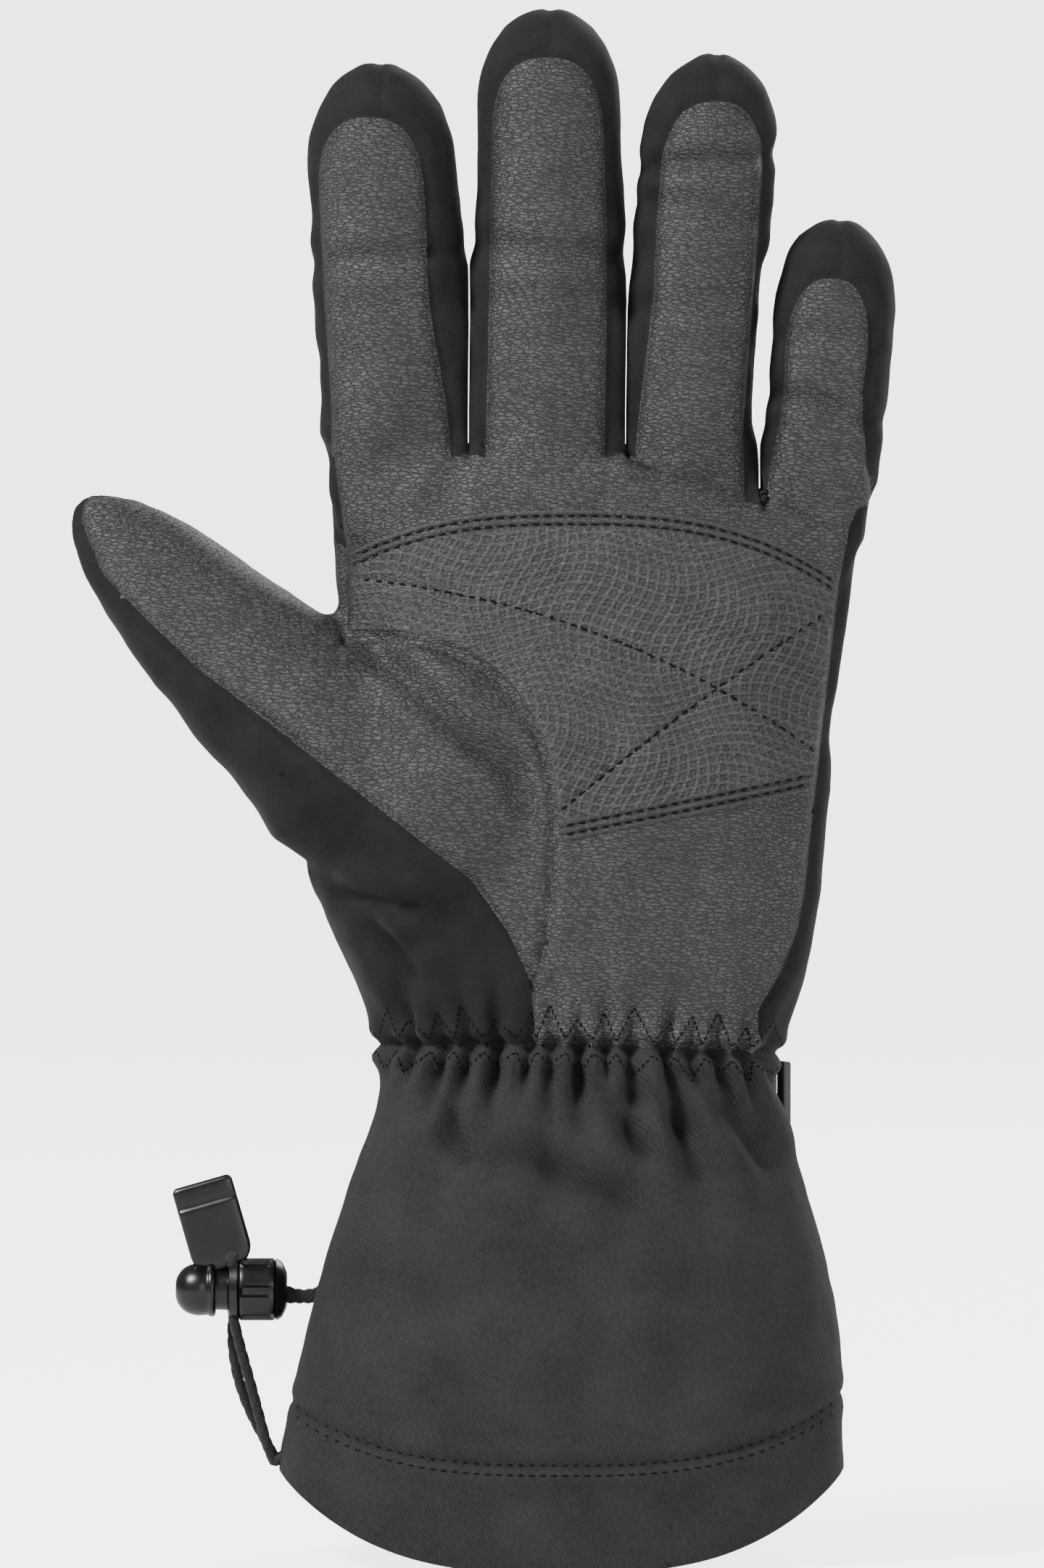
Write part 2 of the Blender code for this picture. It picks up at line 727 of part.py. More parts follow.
def thumb_point(angle, s, depth):
    """A point of a thumb layer; angle 0 is the web side and 270 degrees is the palm side."""
    dome_s = THUMB_LENGTH - THUMB_DOME
    scaled = s
    if s > dome_s:
        scaled = dome_s + (s - dome_s) * THUMB_DOME / (THUMB_DOME - depth)
    half = thumb_half(min(scaled, THUMB_LENGTH - 0.2))
    shrink = 1.0 if s <= dome_s else half / thumb_half(dome_s)
    across, y = oval(
        angle, half - depth * shrink, half * THUMB_FLATNESS - depth * shrink, FINGER_POWER
    )
    return THUMB_ROOT + THUMB_ALONG * s + THUMB_ACROSS * across + Vector((0, y, 0))


def hand_margin(point):
    """Clearance measure of a point from the hand's outer face: above 0 is outside."""
    centre, width, half_depth = between(HAND_STATIONS, point.z)
    reach = abs((point.x - centre) / width) ** HAND_POWER + abs(point.y / half_depth) ** HAND_POWER
    return (reach ** (1 / HAND_POWER) - 1) * width


def thumb_start(angle, depth, clearance):
    """Where a line of the thumb, followed back to the hand, comes within the clearance."""
    outside, inside = 0.0, -60.0
    for _ in range(40):
        middle = (outside + inside) / 2
        at = thumb_point(angle, middle, depth)
        if at.x < THUMB_ROOT_EDGE and hand_margin(at) > clearance:
            outside = middle
        else:
            inside = middle
    return outside


def thumb_edge(angle, at, depth, bend, side):
    """Edge of a thumb part on one side of a hinge line, mitred for the bend."""
    y = thumb_point(angle, at, depth).y - THUMB_ROOT.y
    return at + side * (JOINT_GAP + mitre(-y, bend))


def thumb_root_row(depth, clearance):
    """Row function from the hand's surface to the thumb's swing."""

    def point(angle, t):
        high = thumb_edge(angle, 0.0, depth, THUMB_SWING, -1)
        low = min(thumb_start(angle, depth, clearance), high - 1.0)
        return thumb_point(angle, low + (high - low) * t, depth)

    return point


def thumb_lower_row(depth):
    """Row function from the thumb's swing to its middle joint."""

    def point(angle, t):
        low = thumb_edge(angle, 0.0, depth, THUMB_SWING, 1)
        high = thumb_edge(angle, THUMB_BEND_AT, depth, THUMB_BEND, -1)
        return thumb_point(angle, low + (high - low) * t, depth)

    return point


def thumb_upper_row(depth):
    """Row function from the thumb's middle joint to its tip."""

    def point(angle, t):
        low = thumb_edge(angle, THUMB_BEND_AT, depth, THUMB_BEND, 1)
        return thumb_point(angle, low + (THUMB_LENGTH - depth - low) * t, depth)

    return point


def add_thumb_part(part, palm, back, liner, at):
    layer("thumb_palm_" + part, palm, "leather", SHELL[1], at)
    layer("thumb_back_" + part, back, "softshell", SHELL[1], at)
    layer("thumb_liner_" + part, liner, "insulation", STALL_LINER[1], at)


def make_thumb():
    around = all_round(THUMB_FRONT_ANGLES, THUMB_BACK_ANGLES)
    front = inset_ends(THUMB_FRONT_ANGLES, FINGER_GAP_ANGLE)
    back = inset_ends(THUMB_BACK_ANGLES, FINGER_GAP_ANGLE)
    depth = STALL_LINER[0]

    outer = thumb_root_row(SHELL[0], THUMB_ROOT_CLEARANCE)
    inner = thumb_root_row(depth, THUMB_LINER_CLEARANCE)
    rows = (0, 1)
    liner = sheet(around, rows, inner, closed=True)
    add_thumb_part("root", sheet(front, rows, outer), sheet(back, rows, outer), liner, THUMB_ROOT)

    outer = thumb_lower_row(SHELL[0])
    rows = (0, 0.5, 1)
    liner = sheet(around, rows, thumb_lower_row(depth), closed=True)
    add_thumb_part("lower", sheet(front, rows, outer), sheet(back, rows, outer), liner, THUMB_ROOT)

    outer = thumb_upper_row(SHELL[0])
    rows = THUMB_FACE_ROWS
    tip = THUMB_ROOT + THUMB_ALONG * THUMB_LENGTH
    palm = capped(THUMB_FRONT_ANGLES, THUMB_BACK_ANGLES, rows, THUMB_CAP_ROWS, outer, tip)
    liner_rows = rows + THUMB_CAP_ROWS[1:]
    liner_tip = tip - THUMB_ALONG * depth
    liner = sheet(around, liner_rows, thumb_upper_row(depth), closed=True, tip=liner_tip)
    bend_point = THUMB_ROOT + THUMB_ALONG * THUMB_BEND_AT
    add_thumb_part("upper", palm, sheet(back, rows, outer), liner, bend_point)


# ---------------------------------------------------------------- wrist and hardware


def wrist_band(name, slot, depth_and_thickness, heights, angles, closed):
    depth, thickness = depth_and_thickness
    low, high = heights

    def point(angle, t):
        return cuff_point(angle, low + (high - low) * t, depth)

    bm = sheet(angles, (0, 1), point, closed=closed)
    layer(name, bm, slot, thickness)


def make_wrist():
    around = all_round(FRONT_ANGLES, BACK_ANGLES)
    wrist_band("wrist_elastic", "lining", WRIST_ELASTIC, ELASTIC_HEIGHTS, around, True)
    wrist_band("wrist_strap", "cord", WRIST_STRAP, STRAP_HEIGHTS, STRAP_ANGLES, False)
    make_buckle()


def buckle_hinge():
    """Where the buckle's end bar is sewn on, at the end of the strap."""
    low, high = STRAP_HEIGHTS
    middle = (low + high) / 2
    edge = cuff_point(BUCKLE_ANGLE, middle, -BUCKLE_LIFT)
    return Vector((edge.x, edge.y, middle))


def make_buckle():
    """A ladder-lock: a flat frame with two slots, hinged at its end bar."""
    hinge = buckle_hinge()
    turn = Matrix.Rotation(math.radians(-BUCKLE_LEAN), 4, "Z")
    middle = hinge + turn @ Vector((BUCKLE_SIZE[0] / 2 - 1.2, 0, 0))
    bm = rounded_box(BUCKLE_SIZE, 0.6)
    bmesh.ops.transform(bm, matrix=Matrix.Translation(middle) @ turn, verts=bm.verts)
    frame = add_object("buckle_frame", bm, "buckle_plastic", hinge)
    for side in (-1, 1):
        slot = rounded_box(BUCKLE_SLOT, 0.4, 1)
        at = middle + turn @ Vector((side * BUCKLE_SLOT_STEP, 0, 0))
        bmesh.ops.transform(slot, matrix=Matrix.Translation(at) @ turn, verts=slot.verts)
        cut(frame, cutter("inner_slot" if side < 0 else "outer_slot", slot, hinge))


def lock_start():
    """The open end of the lock's body, where the button goes in."""
    return Vector((LOCK_AXIS.x - LOCK_FRONT, LOCK_AXIS.y, LOCK_AXIS.z))


def make_lock_body():
    start = lock_start()
    length = LOCK_END_X - start.x
    outline = (
        (0, 0),
        (0, LOCK_RADIUS - 1.2),
        (0.5, LOCK_RADIUS - 0.3),
        (length * 0.45, LOCK_RADIUS),
        (length - 1.6, LOCK_RADIUS - 0.7),
        (length - 0.3, LOCK_RADIUS - 2.2),
        (length, 0),
    )
    bm = turned(outline)
    bmesh.ops.translate(bm, verts=bm.verts, vec=start)
    body = add_object("lock_body", bm, "hardware", LOCK_AXIS)

    floor = length - LOCK_WALL
    bore = turned(((-2, 0), (-2, LOCK_BORE), (floor, LOCK_BORE), (floor, 0)), 16)
    bmesh.ops.translate(bore, verts=bore.verts, vec=start)
    cut(body, cutter("lock_bore", bore))
    for side in (-1, 1):
        y = LOCK_AXIS.y + side * STRAND_OFFSET
        ends = [Vector((LOCK_AXIS.x, y, LOCK_AXIS.z + end)) for end in (-9, 9)]
        hole = tube_along(ends, STRAND_HOLE, 10)
        cut(body, cutter("cord_hole_front" if side < 0 else "cord_hole_back", hole))


def make_lock_button():
    """A knob outside the body, a stem between the two cords and a disc that traps them."""
    head = lock_start().x - PLUNGER_TRAVEL - PLUNGER_GAP
    disc = LOCK_AXIS.x + 3.2
    outline = (
        (head - 6.6, 0),
        (head - 6.2, 2.2),
        (head - 5.0, 3.9),
        (head - 3.2, 4.8),
        (head - 1.4, 4.9),
        (head - 1.1, 5.4),
        (head, 5.4),
        (head + 0.1, 1.3),
        (disc, 1.3),
        (disc + 0.1, 3.4),
        (disc + 1.1, 3.4),
        (disc + 1.2, 0),
    )
    bm = turned(outline)
    bmesh.ops.translate(bm, verts=bm.verts, vec=Vector((0, LOCK_AXIS.y, LOCK_AXIS.z)))
    add_object("lock_button", bm, "hardware", LOCK_AXIS)


def make_lock_spring():
    """The spring at its pressed length, between the plunger's disc and the body's floor."""
    start = LOCK_AXIS.x + 4.4 + PLUNGER_TRAVEL + 0.9
    end = LOCK_END_X - LOCK_WALL - 0.75
    turns, per_turn = 2, 10
    coil = []
    for k in range(turns * per_turn + 1):
        turn = 2 * math.pi * k / per_turn
        x = start + (end - start) * k / (turns * per_turn)
        y = LOCK_AXIS.y + SPRING_RADIUS * math.cos(turn)
        coil.append(Vector((x, y, LOCK_AXIS.z + SPRING_RADIUS * math.sin(turn))))
    add_object("lock_spring", tube_along(coil, SPRING_WIRE, 6), "spring_steel", LOCK_AXIS)


def make_lock_tether():
    """The webbing from the lock's end to just off the cuff."""
    cuff_x = cuff_point(184, LOCK_AXIS.z - 1.0, 0).x
    points = [
        Vector((LOCK_END_X + 0.5, LOCK_AXIS.y, LOCK_AXIS.z - 0.6)),
        Vector(((LOCK_END_X + cuff_x) / 2, LOCK_AXIS.y, LOCK_AXIS.z - 1.2)),
        Vector((cuff_x - 1.6, LOCK_AXIS.y, LOCK_AXIS.z - 1.0)),
    ]
    add_object("lock_tether", tube_along(points, TETHER_RADIUS), "cord", LOCK_AXIS)


def make_pull_tab():
    bm = rounded_box(TAB_SIZE, 1.0)
    tilt = Matrix.Rotation(math.radians(-TAB_TILT), 4, "Y")
    bmesh.ops.transform(bm, matrix=Matrix.Translation(TAB_CENTRE) @ tilt, verts=bm.verts)
    add_object("pull_tab", bm, "hardware", TAB_CENTRE)
    for side, name in ((-1, "front"), (1, "back")):
        y = LOCK_AXIS.y + side * STRAND_OFFSET
        points = [Vector((LOCK_AXIS.x, y, LOCK_AXIS.z + end)) for end in (-5.2, 6.4)]
        add_object("tail_cord_" + name, tube_along(points, CORD_RADIUS), "cord", TAB_CENTRE)


def strand_points(side):
    """One strand of the drawcord, from under the lock down to the slit in the hem."""
    top = LOCK_AXIS.z - 8.4
    bottom = CORD_EXIT_Z + 1.5
    points = []
    for k in range(6):
        t = k / 5
        x = LOCK_AXIS.x + 0.2 + 7.4 * t**1.7
        points.append(Vector((x, LOCK_AXIS.y + side * STRAND_OFFSET, top + (bottom - top) * t)))
    return points


def make_drawcord():
    """One cord: down from the lock, round inside the hem, and back up to the lock."""
    channel = (SHELL[1] + HEM_CHANNEL + SHELL[1]) / 2
    loop = []
    in_channel = all_round(FRONT_ANGLES, BACK_ANGLES[:-2])
    for angle in (183.3,) + in_channel + (536.7,):
        low = hem_height(cuff_point(angle, CORD_EXIT_Z, channel).x)
        loop.append(cuff_point(angle, low + CORD_ABOVE_HEM, channel))
    points = strand_points(-1) + loop + strand_points(1)[::-1]
    add_object("drawcord", tube_along(points, CORD_RADIUS, 6), "cord")


def main():
    clear_scene()
    make_cuff()
    make_hand()
    make_overlays()
    for finger in FINGERS:
        make_finger(finger)
    for name, x in FORKS.items():
        make_fork(name, x)
    make_thumb()
    make_wrist()
    make_lock_body()
    make_lock_button()
    make_lock_spring()
    make_lock_tether()
    make_pull_tab()
    make_drawcord()


main()
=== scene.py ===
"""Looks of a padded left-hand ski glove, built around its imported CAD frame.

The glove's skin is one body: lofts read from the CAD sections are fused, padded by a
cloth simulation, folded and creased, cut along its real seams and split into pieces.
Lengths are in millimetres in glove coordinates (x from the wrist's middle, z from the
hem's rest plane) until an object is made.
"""

import math

import bmesh
import bpy
import json
import numpy as np
from mathutils import Matrix, Vector, noise
from mathutils.bvhtree import BVHTree
from mathutils.kdtree import KDTree


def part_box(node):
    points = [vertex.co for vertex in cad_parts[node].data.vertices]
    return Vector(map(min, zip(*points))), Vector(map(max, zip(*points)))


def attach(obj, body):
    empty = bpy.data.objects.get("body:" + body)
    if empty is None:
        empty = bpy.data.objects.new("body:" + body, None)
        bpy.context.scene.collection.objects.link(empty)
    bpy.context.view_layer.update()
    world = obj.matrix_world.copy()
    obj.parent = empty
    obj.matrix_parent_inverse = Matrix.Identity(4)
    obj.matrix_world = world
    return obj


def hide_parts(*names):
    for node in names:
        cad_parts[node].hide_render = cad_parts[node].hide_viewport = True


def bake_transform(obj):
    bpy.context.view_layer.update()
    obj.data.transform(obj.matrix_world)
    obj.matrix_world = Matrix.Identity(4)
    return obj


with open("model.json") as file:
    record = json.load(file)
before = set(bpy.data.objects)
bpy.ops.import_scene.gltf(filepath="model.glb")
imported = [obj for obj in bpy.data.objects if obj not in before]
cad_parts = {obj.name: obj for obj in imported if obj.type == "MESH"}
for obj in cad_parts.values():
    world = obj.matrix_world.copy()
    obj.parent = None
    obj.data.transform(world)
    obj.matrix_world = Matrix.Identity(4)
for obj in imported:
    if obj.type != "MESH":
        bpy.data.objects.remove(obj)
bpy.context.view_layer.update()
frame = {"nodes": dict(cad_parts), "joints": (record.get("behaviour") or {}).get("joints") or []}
JOINTS = {j["name"]: j for j in frame["joints"]}
MM = 0.001

# ------------------------------------------------------------ places from the frame


def joint_at(name):
    return np.array(JOINTS[name]["pos_m"]) / MM


MIDDLE_X = joint_at("wrist_bend")[0] - 1.2
WRIST_Z = joint_at("wrist_bend")[2]
FINGERS = ("index", "middle", "ring", "little")


def to_glove(points):
    """Metres in the frame to millimetres from the wrist's middle."""
    moved = np.asarray(points, float) / MM
    return moved - np.array((MIDDLE_X, 0, 0))


def to_frame(points):
    return (np.asarray(points, float) + np.array((MIDDLE_X, 0, 0))) * MM


def node_edges(*names):
    ends = []
    for name in names:
        mesh = frame["nodes"][name].data
        co = to_glove([v.co for v in mesh.vertices])
        for e in mesh.edges:
            ends.append((co[e.vertices[0]], co[e.vertices[1]]))
    return np.array(ends)


def section(edges, level, along=np.array((0, 0, 1.0)), side=np.array((1.0, 0, 0))):
    """Centre, half width and half depth of the outline where a plane cuts the edges."""
    start = edges[:, 0] @ along
    end = edges[:, 1] @ along
    cuts = (start - level) * (end - level) < 0
    share = ((level - start) / (end - start + 1e-12))[cuts][:, None]
    points = edges[cuts, 0] * (1 - share) + edges[cuts, 1] * share
    across = points @ side
    depth = points[:, 1]
    return (
        (across.max() + across.min()) / 2,
        (across.max() - across.min()) / 2,
        (depth.max() + depth.min()) / 2,
        (depth.max() - depth.min()) / 2,
    )


def smoothstep(value, low, high):
    t = np.clip((value - low) / (high - low), 0, 1)
    return t * t * (3 - 2 * t)


def bump(distance, width):
    return np.exp(-((distance / width) ** 2))


class Digit:
    """A finger's line and girth, read from its CAD nodes."""

    def __init__(self, name):
        self.name = name
        lower = node_edges(name + "_palm_lower", name + "_back_lower")
        upper = node_edges(name + "_palm_upper", name + "_back_upper")
        self.knuckle = joint_at(name + "_knuckle") - np.array((MIDDLE_X, 0, 0))
        self.middle = joint_at(name + "_bend") - np.array((MIDDLE_X, 0, 0))
        self.tip_z = to_glove(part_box(name + "_back_upper")[1])[2]
        self.dome = TIP_LENGTH[name]
        heights = [self.knuckle[2] + 8, self.middle[2] - 8, self.middle[2] + 8, self.tip_z - self.dome]
        edges = (lower, lower, upper, upper)
        cuts = [section(e, z) for e, z in zip(edges, heights)]
        self.heights = heights
        self.centres = [c[0] for c in cuts]
        self.widths = [c[1] for c in cuts]
        self.depths = [c[3] for c in cuts]

    def centre(self, z):
        slope = (self.centres[-1] - self.centres[-2]) / (self.heights[-1] - self.heights[-2])
        beyond = np.maximum(z - self.heights[-1], 0) * slope
        return np.interp(z, self.heights, self.centres) + beyond

    def half(self, z):
        reach = np.clip((z - (self.tip_z - self.dome)) / self.dome, 0, 1)
        round_off = np.sqrt(np.maximum(1 - reach**2.2, 0))
        return (
            np.interp(z, self.heights, self.widths) * round_off,
            np.interp(z, self.heights, self.depths) * round_off,
        )


TIP_LENGTH = {"index": 23.0, "middle": 19.0, "ring": 20.0, "little": 19.5}
DIGITS = {name: Digit(name) for name in FINGERS}

# Thumb axes: from its root, along it and across it towards the web
THUMB_ROOT = joint_at("thumb_swing") - np.array((MIDDLE_X, 0, 0))
THUMB_BEND = joint_at("thumb_bend") - np.array((MIDDLE_X, 0, 0))
THUMB_ACROSS = np.array(JOINTS["thumb_swing"]["axis"])
THUMB_ALONG = (THUMB_BEND - THUMB_ROOT) / np.linalg.norm(THUMB_BEND - THUMB_ROOT)
THUMB_BEND_AT = np.linalg.norm(THUMB_BEND - THUMB_ROOT)
THUMB_LENGTH = 53.0


def knuckle_line(x):
    """Height of the finger crotches across the hand."""
    high = DIGITS["index"].knuckle[2]
    low = DIGITS["little"].knuckle[2]
    return high + (low - high) * np.clip((x - 11.0) / 26.0, 0, 1)


# ------------------------------------------------------------ base lofts


def superoval(count, power):
    """Unit outline of a rounded oval, counter-clockwise from +X."""
    turn = np.linspace(0, 2 * np.pi, count, endpoint=False)
    c, s = np.cos(turn), np.sin(turn)
    return np.sign(c) * np.abs(c) ** (2 / power), np.sign(s) * np.abs(s) ** (2 / power)


def loft(rings):
    """Points and faces of a closed tube through rings of equal length, with end fans."""
    count = len(rings[0])
    points = np.concatenate(rings)
    faces = []
    for j in range(len(rings) - 1):
        for i in range(count):
            k = (i + 1) % count
            a, b = j * count, (j + 1) * count
            faces.append((a + i, a + k, b + k, b + i))
    bottom, top = len(points), len(points) + 1
    points = np.concatenate([points, [rings[0].mean(0)], [rings[-1].mean(0)]])
    last = (len(rings) - 1) * count
    for i in range(count):
        k = (i + 1) % count
        faces.append((k, i, bottom))
        faces.append((last + i, last + k, top))
    return points, faces


def body_rings():
    """Rings of the cuff and hand, from the hem to the knuckles."""
    cuff = node_edges("cuff_front_panel", "cuff_back_panel")
    hand = node_edges("palm_leather", "back_shell")
    low, high = to_glove(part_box("hem_band"))
    hem = ((low[0] + high[0]) / 2, (high[0] - low[0]) / 2, 0.0, (high[1] - low[1]) / 2)
    stations = [(z, hem) for z in (-6.0, 8.0, 20.0)]
    stations += [(z, section(cuff, z)) for z in (38.0, 50.0, 62.0, 74.0, 86.0, 95.0)]
    stations += [(z, section(hand, z)) for z in (110.0, 120.0, 135.0, 150.0, 165.0, 180.0, 195.0, 207.0)]
    heights = [z for z, _ in stations]
    table = np.array([s for _, s in stations])
    rings = []
    ux, uy = superoval(72, 2.35)
    top = knuckle_line(0.0) - 0.5
    for z in np.linspace(heights[0], top, 56):
        centre, width, mid_y, depth = (np.interp(z, heights, table[:, k]) for k in range(4))
        depth *= 1 - 0.16 * smoothstep(z, 205, 222)
        ring = np.stack([centre + width * ux, mid_y + depth * uy, np.full(len(ux), z)], 1)
        leftness = np.clip(-ux, 0, 1)
        rightness = np.clip(ux, 0, 1)
        ring[:, 0] -= leftness * (3.4 * bump(z - 134.0, 13.0) + 1.4 * bump(z - 112.0, 9.0))
        ring[:, 0] += rightness * (1.3 * bump(z - 118.0, 20.0) + 1.0 * bump(z - 52.0, 24.0))
        cap = knuckle_line(ring[:, 0]) - 0.5
        ring[:, 2] = np.minimum(ring[:, 2], cap)
        rings.append(ring)
    return rings


HAND_EDGES = node_edges("palm_leather", "back_shell")


def hand_sides(z):
    """Left and right side of the hand at a height."""
    centre, width, _, _ = section(HAND_EDGES, z)
    return centre - width, centre + width


def finger_rings(digit):
    rings = []
    ux, uy = superoval(32, 2.25)
    start = digit.knuckle[2] - 16
    straight = np.linspace(start, digit.tip_z - digit.dome, 16)
    turned = digit.tip_z - digit.dome * (1 - np.sin(np.linspace(0.12, 1.545, 10)))
    for z in np.concatenate([straight, turned]):
        width, depth = digit.half(z)
        if z < digit.knuckle[2]:
            depth = depth * 0.92
        x = digit.centre(z) + width * ux
        if z < digit.knuckle[2]:
            share = (digit.knuckle[2] - z) / 16.0
            inside = 1.5 * share
            sides = hand_sides(min(z, 208.0))
            reach = 208.0 - min(z, 208.0)
            x = np.clip(x, sides[0] - 0.8 + inside - 0.02 * reach, sides[1] + 2.0 - inside * 2)
        rings.append(np.stack([x, depth * uy, np.full(len(ux), z)], 1))
    return rings


def thumb_half(s):
    """Half width of the thumb at a distance along it."""
    width = 17.6 - 0.155 * np.maximum(s, -12)
    reach = np.clip((s - (THUMB_LENGTH - 22.0)) / 22.0, 0, 1)
    return width * np.sqrt(np.maximum(1 - reach**2.1, 0))


def thumb_rings():
    rings = []
    ux, uy = superoval(36, 2.25)
    dome_start = THUMB_LENGTH - 22.0
    places = np.concatenate(
        [np.linspace(-46, dome_start, 18), THUMB_LENGTH - 22.0 * (1 - np.sin(np.linspace(0.12, 1.54, 10)))]
    )
    for s in places:
        width = thumb_half(s)
        depth = width * 0.86
        lean = THUMB_ROOT + THUMB_ALONG * s
        lean = lean + np.array((0, -3.0, 0)) * smoothstep(-s, -10, 30)
        if s < 0:
            width = width * (1 - 0.25 * smoothstep(-s, 4, 46))
            lean = lean + THUMB_ACROSS * (-2.5 * smoothstep(-s, 4, 46))
        rings.append(lean + np.outer(width * ux, THUMB_ACROSS) + np.outer(depth * uy, (0, 1.0, 0)))
    return rings


def thenar_rings():
    """The padded mound of the thumb's root on the palm."""
    rings = []
    turn = np.linspace(0, 2 * np.pi, 36, endpoint=False)
    for lift in np.sin(np.linspace(0, 1.5, 7)):
        size = math.sqrt(1 - lift**2)
        ring = np.stack(
            [
                -27.0 + 21.0 * size * np.cos(turn),
                -14.0 - 12.5 * lift + 0 * turn,
                152.0 + 33.0 * size * np.sin(turn) + 0.0,
            ],
            1,
        )
        rings.append(ring)
    return rings[::-1]


# The fingers are fused a little apart, so that they stay separate, and then moved back
SPREAD = {"index": -4.8, "middle": -1.4, "ring": 2.2, "little": 7.0}


def gap_lines(z):
    """Middle of the gap between each pair of fingers at a height."""
    lines = []
    for a, b in zip(FINGERS, FINGERS[1:]):
        right = DIGITS[a].centre(z) + DIGITS[a].half(min(z, DIGITS[a].heights[-1]))[0]
        left = DIGITS[b].centre(z) - DIGITS[b].half(min(z, DIGITS[b].heights[-1]))[0]
        lines.append((right + left) / 2)
    return lines


def spread_knots(z):
    """Places across the hand and how far each moves when the fingers are spread."""
    lines = gap_lines(z)
    steps = [SPREAD[f] for f in FINGERS]
    places = [-150.0]
    moves = [steps[0]]
    for line, before, after in zip(lines, steps, steps[1:]):
        places += [line - 0.7, line + 0.7]
        moves += [before, after]
    return np.array(places + [150.0]), np.array(moves + [steps[-1]])


def spread_share(x, z):
    line = knuckle_line(x)
    return smoothstep(z, line - 9.0, line + 1.5)


def spread(points, finger=None):
    """Moves each finger away from its neighbours; one finger's own points move together."""
    moved = points.copy()
    for i, (x, y, z) in enumerate(points):
        share = float(spread_share(x, z))
        if share > 0:
            places, moves = spread_knots(z)
            step = SPREAD[finger] if finger else np.interp(x, places, moves)
            moved[i, 0] = x + share * step
    return moved


def unspread(points):
    """Undoes spread(), with the same steps looked up the other way."""
    moved = points.copy()
    levels = np.arange(196.0, 314.0, 1.0)
    inverse = []
    for z in levels:
        places, moves = spread_knots(z)
        fine = np.unique(np.concatenate([np.linspace(-150, 150, 601), places]))
        goes = fine + spread_share(fine, z) * np.interp(fine, places, moves)
        inverse.append((fine, np.maximum.accumulate(goes)))
    for i, (x, y, z) in enumerate(points):
        if z <= levels[0] + 1:
            continue
        k = min(int(z - levels[0]), len(levels) - 2)
        share = z - levels[k]
        low = np.interp(x, inverse[k][1], inverse[k][0])
        high = np.interp(x, inverse[k + 1][1], inverse[k + 1][0])
        moved[i, 0] = low * (1 - share) + high * share
    return moved


GAP_CLOSED_TO = (254.0, 251.0, 222.0)
GAP_HALF = 0.2
PARTING = 0.12
SMOOTHING_LOSS = 0.35


def close_gaps(points):
    """Lets neighbouring fingers meet from the crotch up to where they part."""
    moved = points.copy()
    x, z = points[:, 0], points[:, 2]
    for (a, b), top in zip(zip(FINGERS, FINGERS[1:]), GAP_CLOSED_TO):
        first, second = DIGITS[a], DIGITS[b]
        right = first.centre(z) + np.interp(z, first.heights, first.widths)
        left = second.centre(z) - np.interp(z, second.heights, second.widths)
        line = (left + right) / 2
        half = (left - right) / 2 + SMOOTHING_LOSS
        half = half + 1.6 * (1 - smoothstep(z, top - 6, top))
        pull = np.maximum(half - GAP_HALF, 0) * (1 - smoothstep(z, top, top + 14))
        away = moved[:, 0] - line
        near = 1 - smoothstep(np.abs(away), 1.0, 9.0)
        above = smoothstep(z, knuckle_line(x) - 3, knuckle_line(x) + 2)
        step = np.minimum(pull * near * above, np.maximum(np.abs(away) - GAP_HALF, 0))
        moved[:, 0] -= np.sign(away) * step
    return moved


# ------------------------------------------------------------ Blender helpers


def new_object(name, points, faces):
    mesh = bpy.data.meshes.new(name)
    mesh.from_pydata([tuple(p) for p in points], [], [tuple(f) for f in faces])
    mesh.update()
    obj = bpy.data.objects.new(name, mesh)
    bpy.context.scene.collection.objects.link(obj)
    return obj


def applied(obj):
    """Applies every modifier of an object."""
    graph = bpy.context.evaluated_depsgraph_get()
    mesh = bpy.data.meshes.new_from_object(obj.evaluated_get(graph))
    obj.modifiers.clear()
    old = obj.data
    obj.data = mesh
    bpy.data.meshes.remove(old)
    return obj


def coordinates(mesh):
    co = np.zeros(len(mesh.vertices) * 3)
    mesh.vertices.foreach_get("co", co)
    return co.reshape(-1, 3)


def normals(mesh):
    co = np.zeros(len(mesh.vertices) * 3)
    mesh.vertices.foreach_get("normal", co)
    return co.reshape(-1, 3)


def set_coordinates(mesh, co):
    mesh.vertices.foreach_set("co", np.asarray(co, np.float32).ravel())
    mesh.update()


VOXEL = 2.0


def fused_skin():
    """One closed skin from the lofts of the body, fingers, thumb and thenar mound."""
    points, faces = [], []
    parts = [(f, finger_rings(DIGITS[f])) for f in FINGERS]
    parts += [(None, body_rings()), (None, thumb_rings()), (None, thenar_rings())]
    for finger, rings in parts:
        p, f = loft(rings)
        base = sum(len(q) for q in points)
        points.append(spread(p, finger))
        faces += [tuple(i + base for i in face) for face in f]
    obj = new_object("skin", to_frame(np.concatenate(points)), faces)
    remesh = obj.modifiers.new("fuse", "REMESH")
    remesh.mode = "VOXEL"
    remesh.voxel_size = VOXEL * MM
    applied(obj)
    smooth = obj.modifiers.new("soften", "SMOOTH")
    smooth.factor = 0.5
    smooth.iterations = 7
    return applied(obj)


PADDING_CAP = 2.6


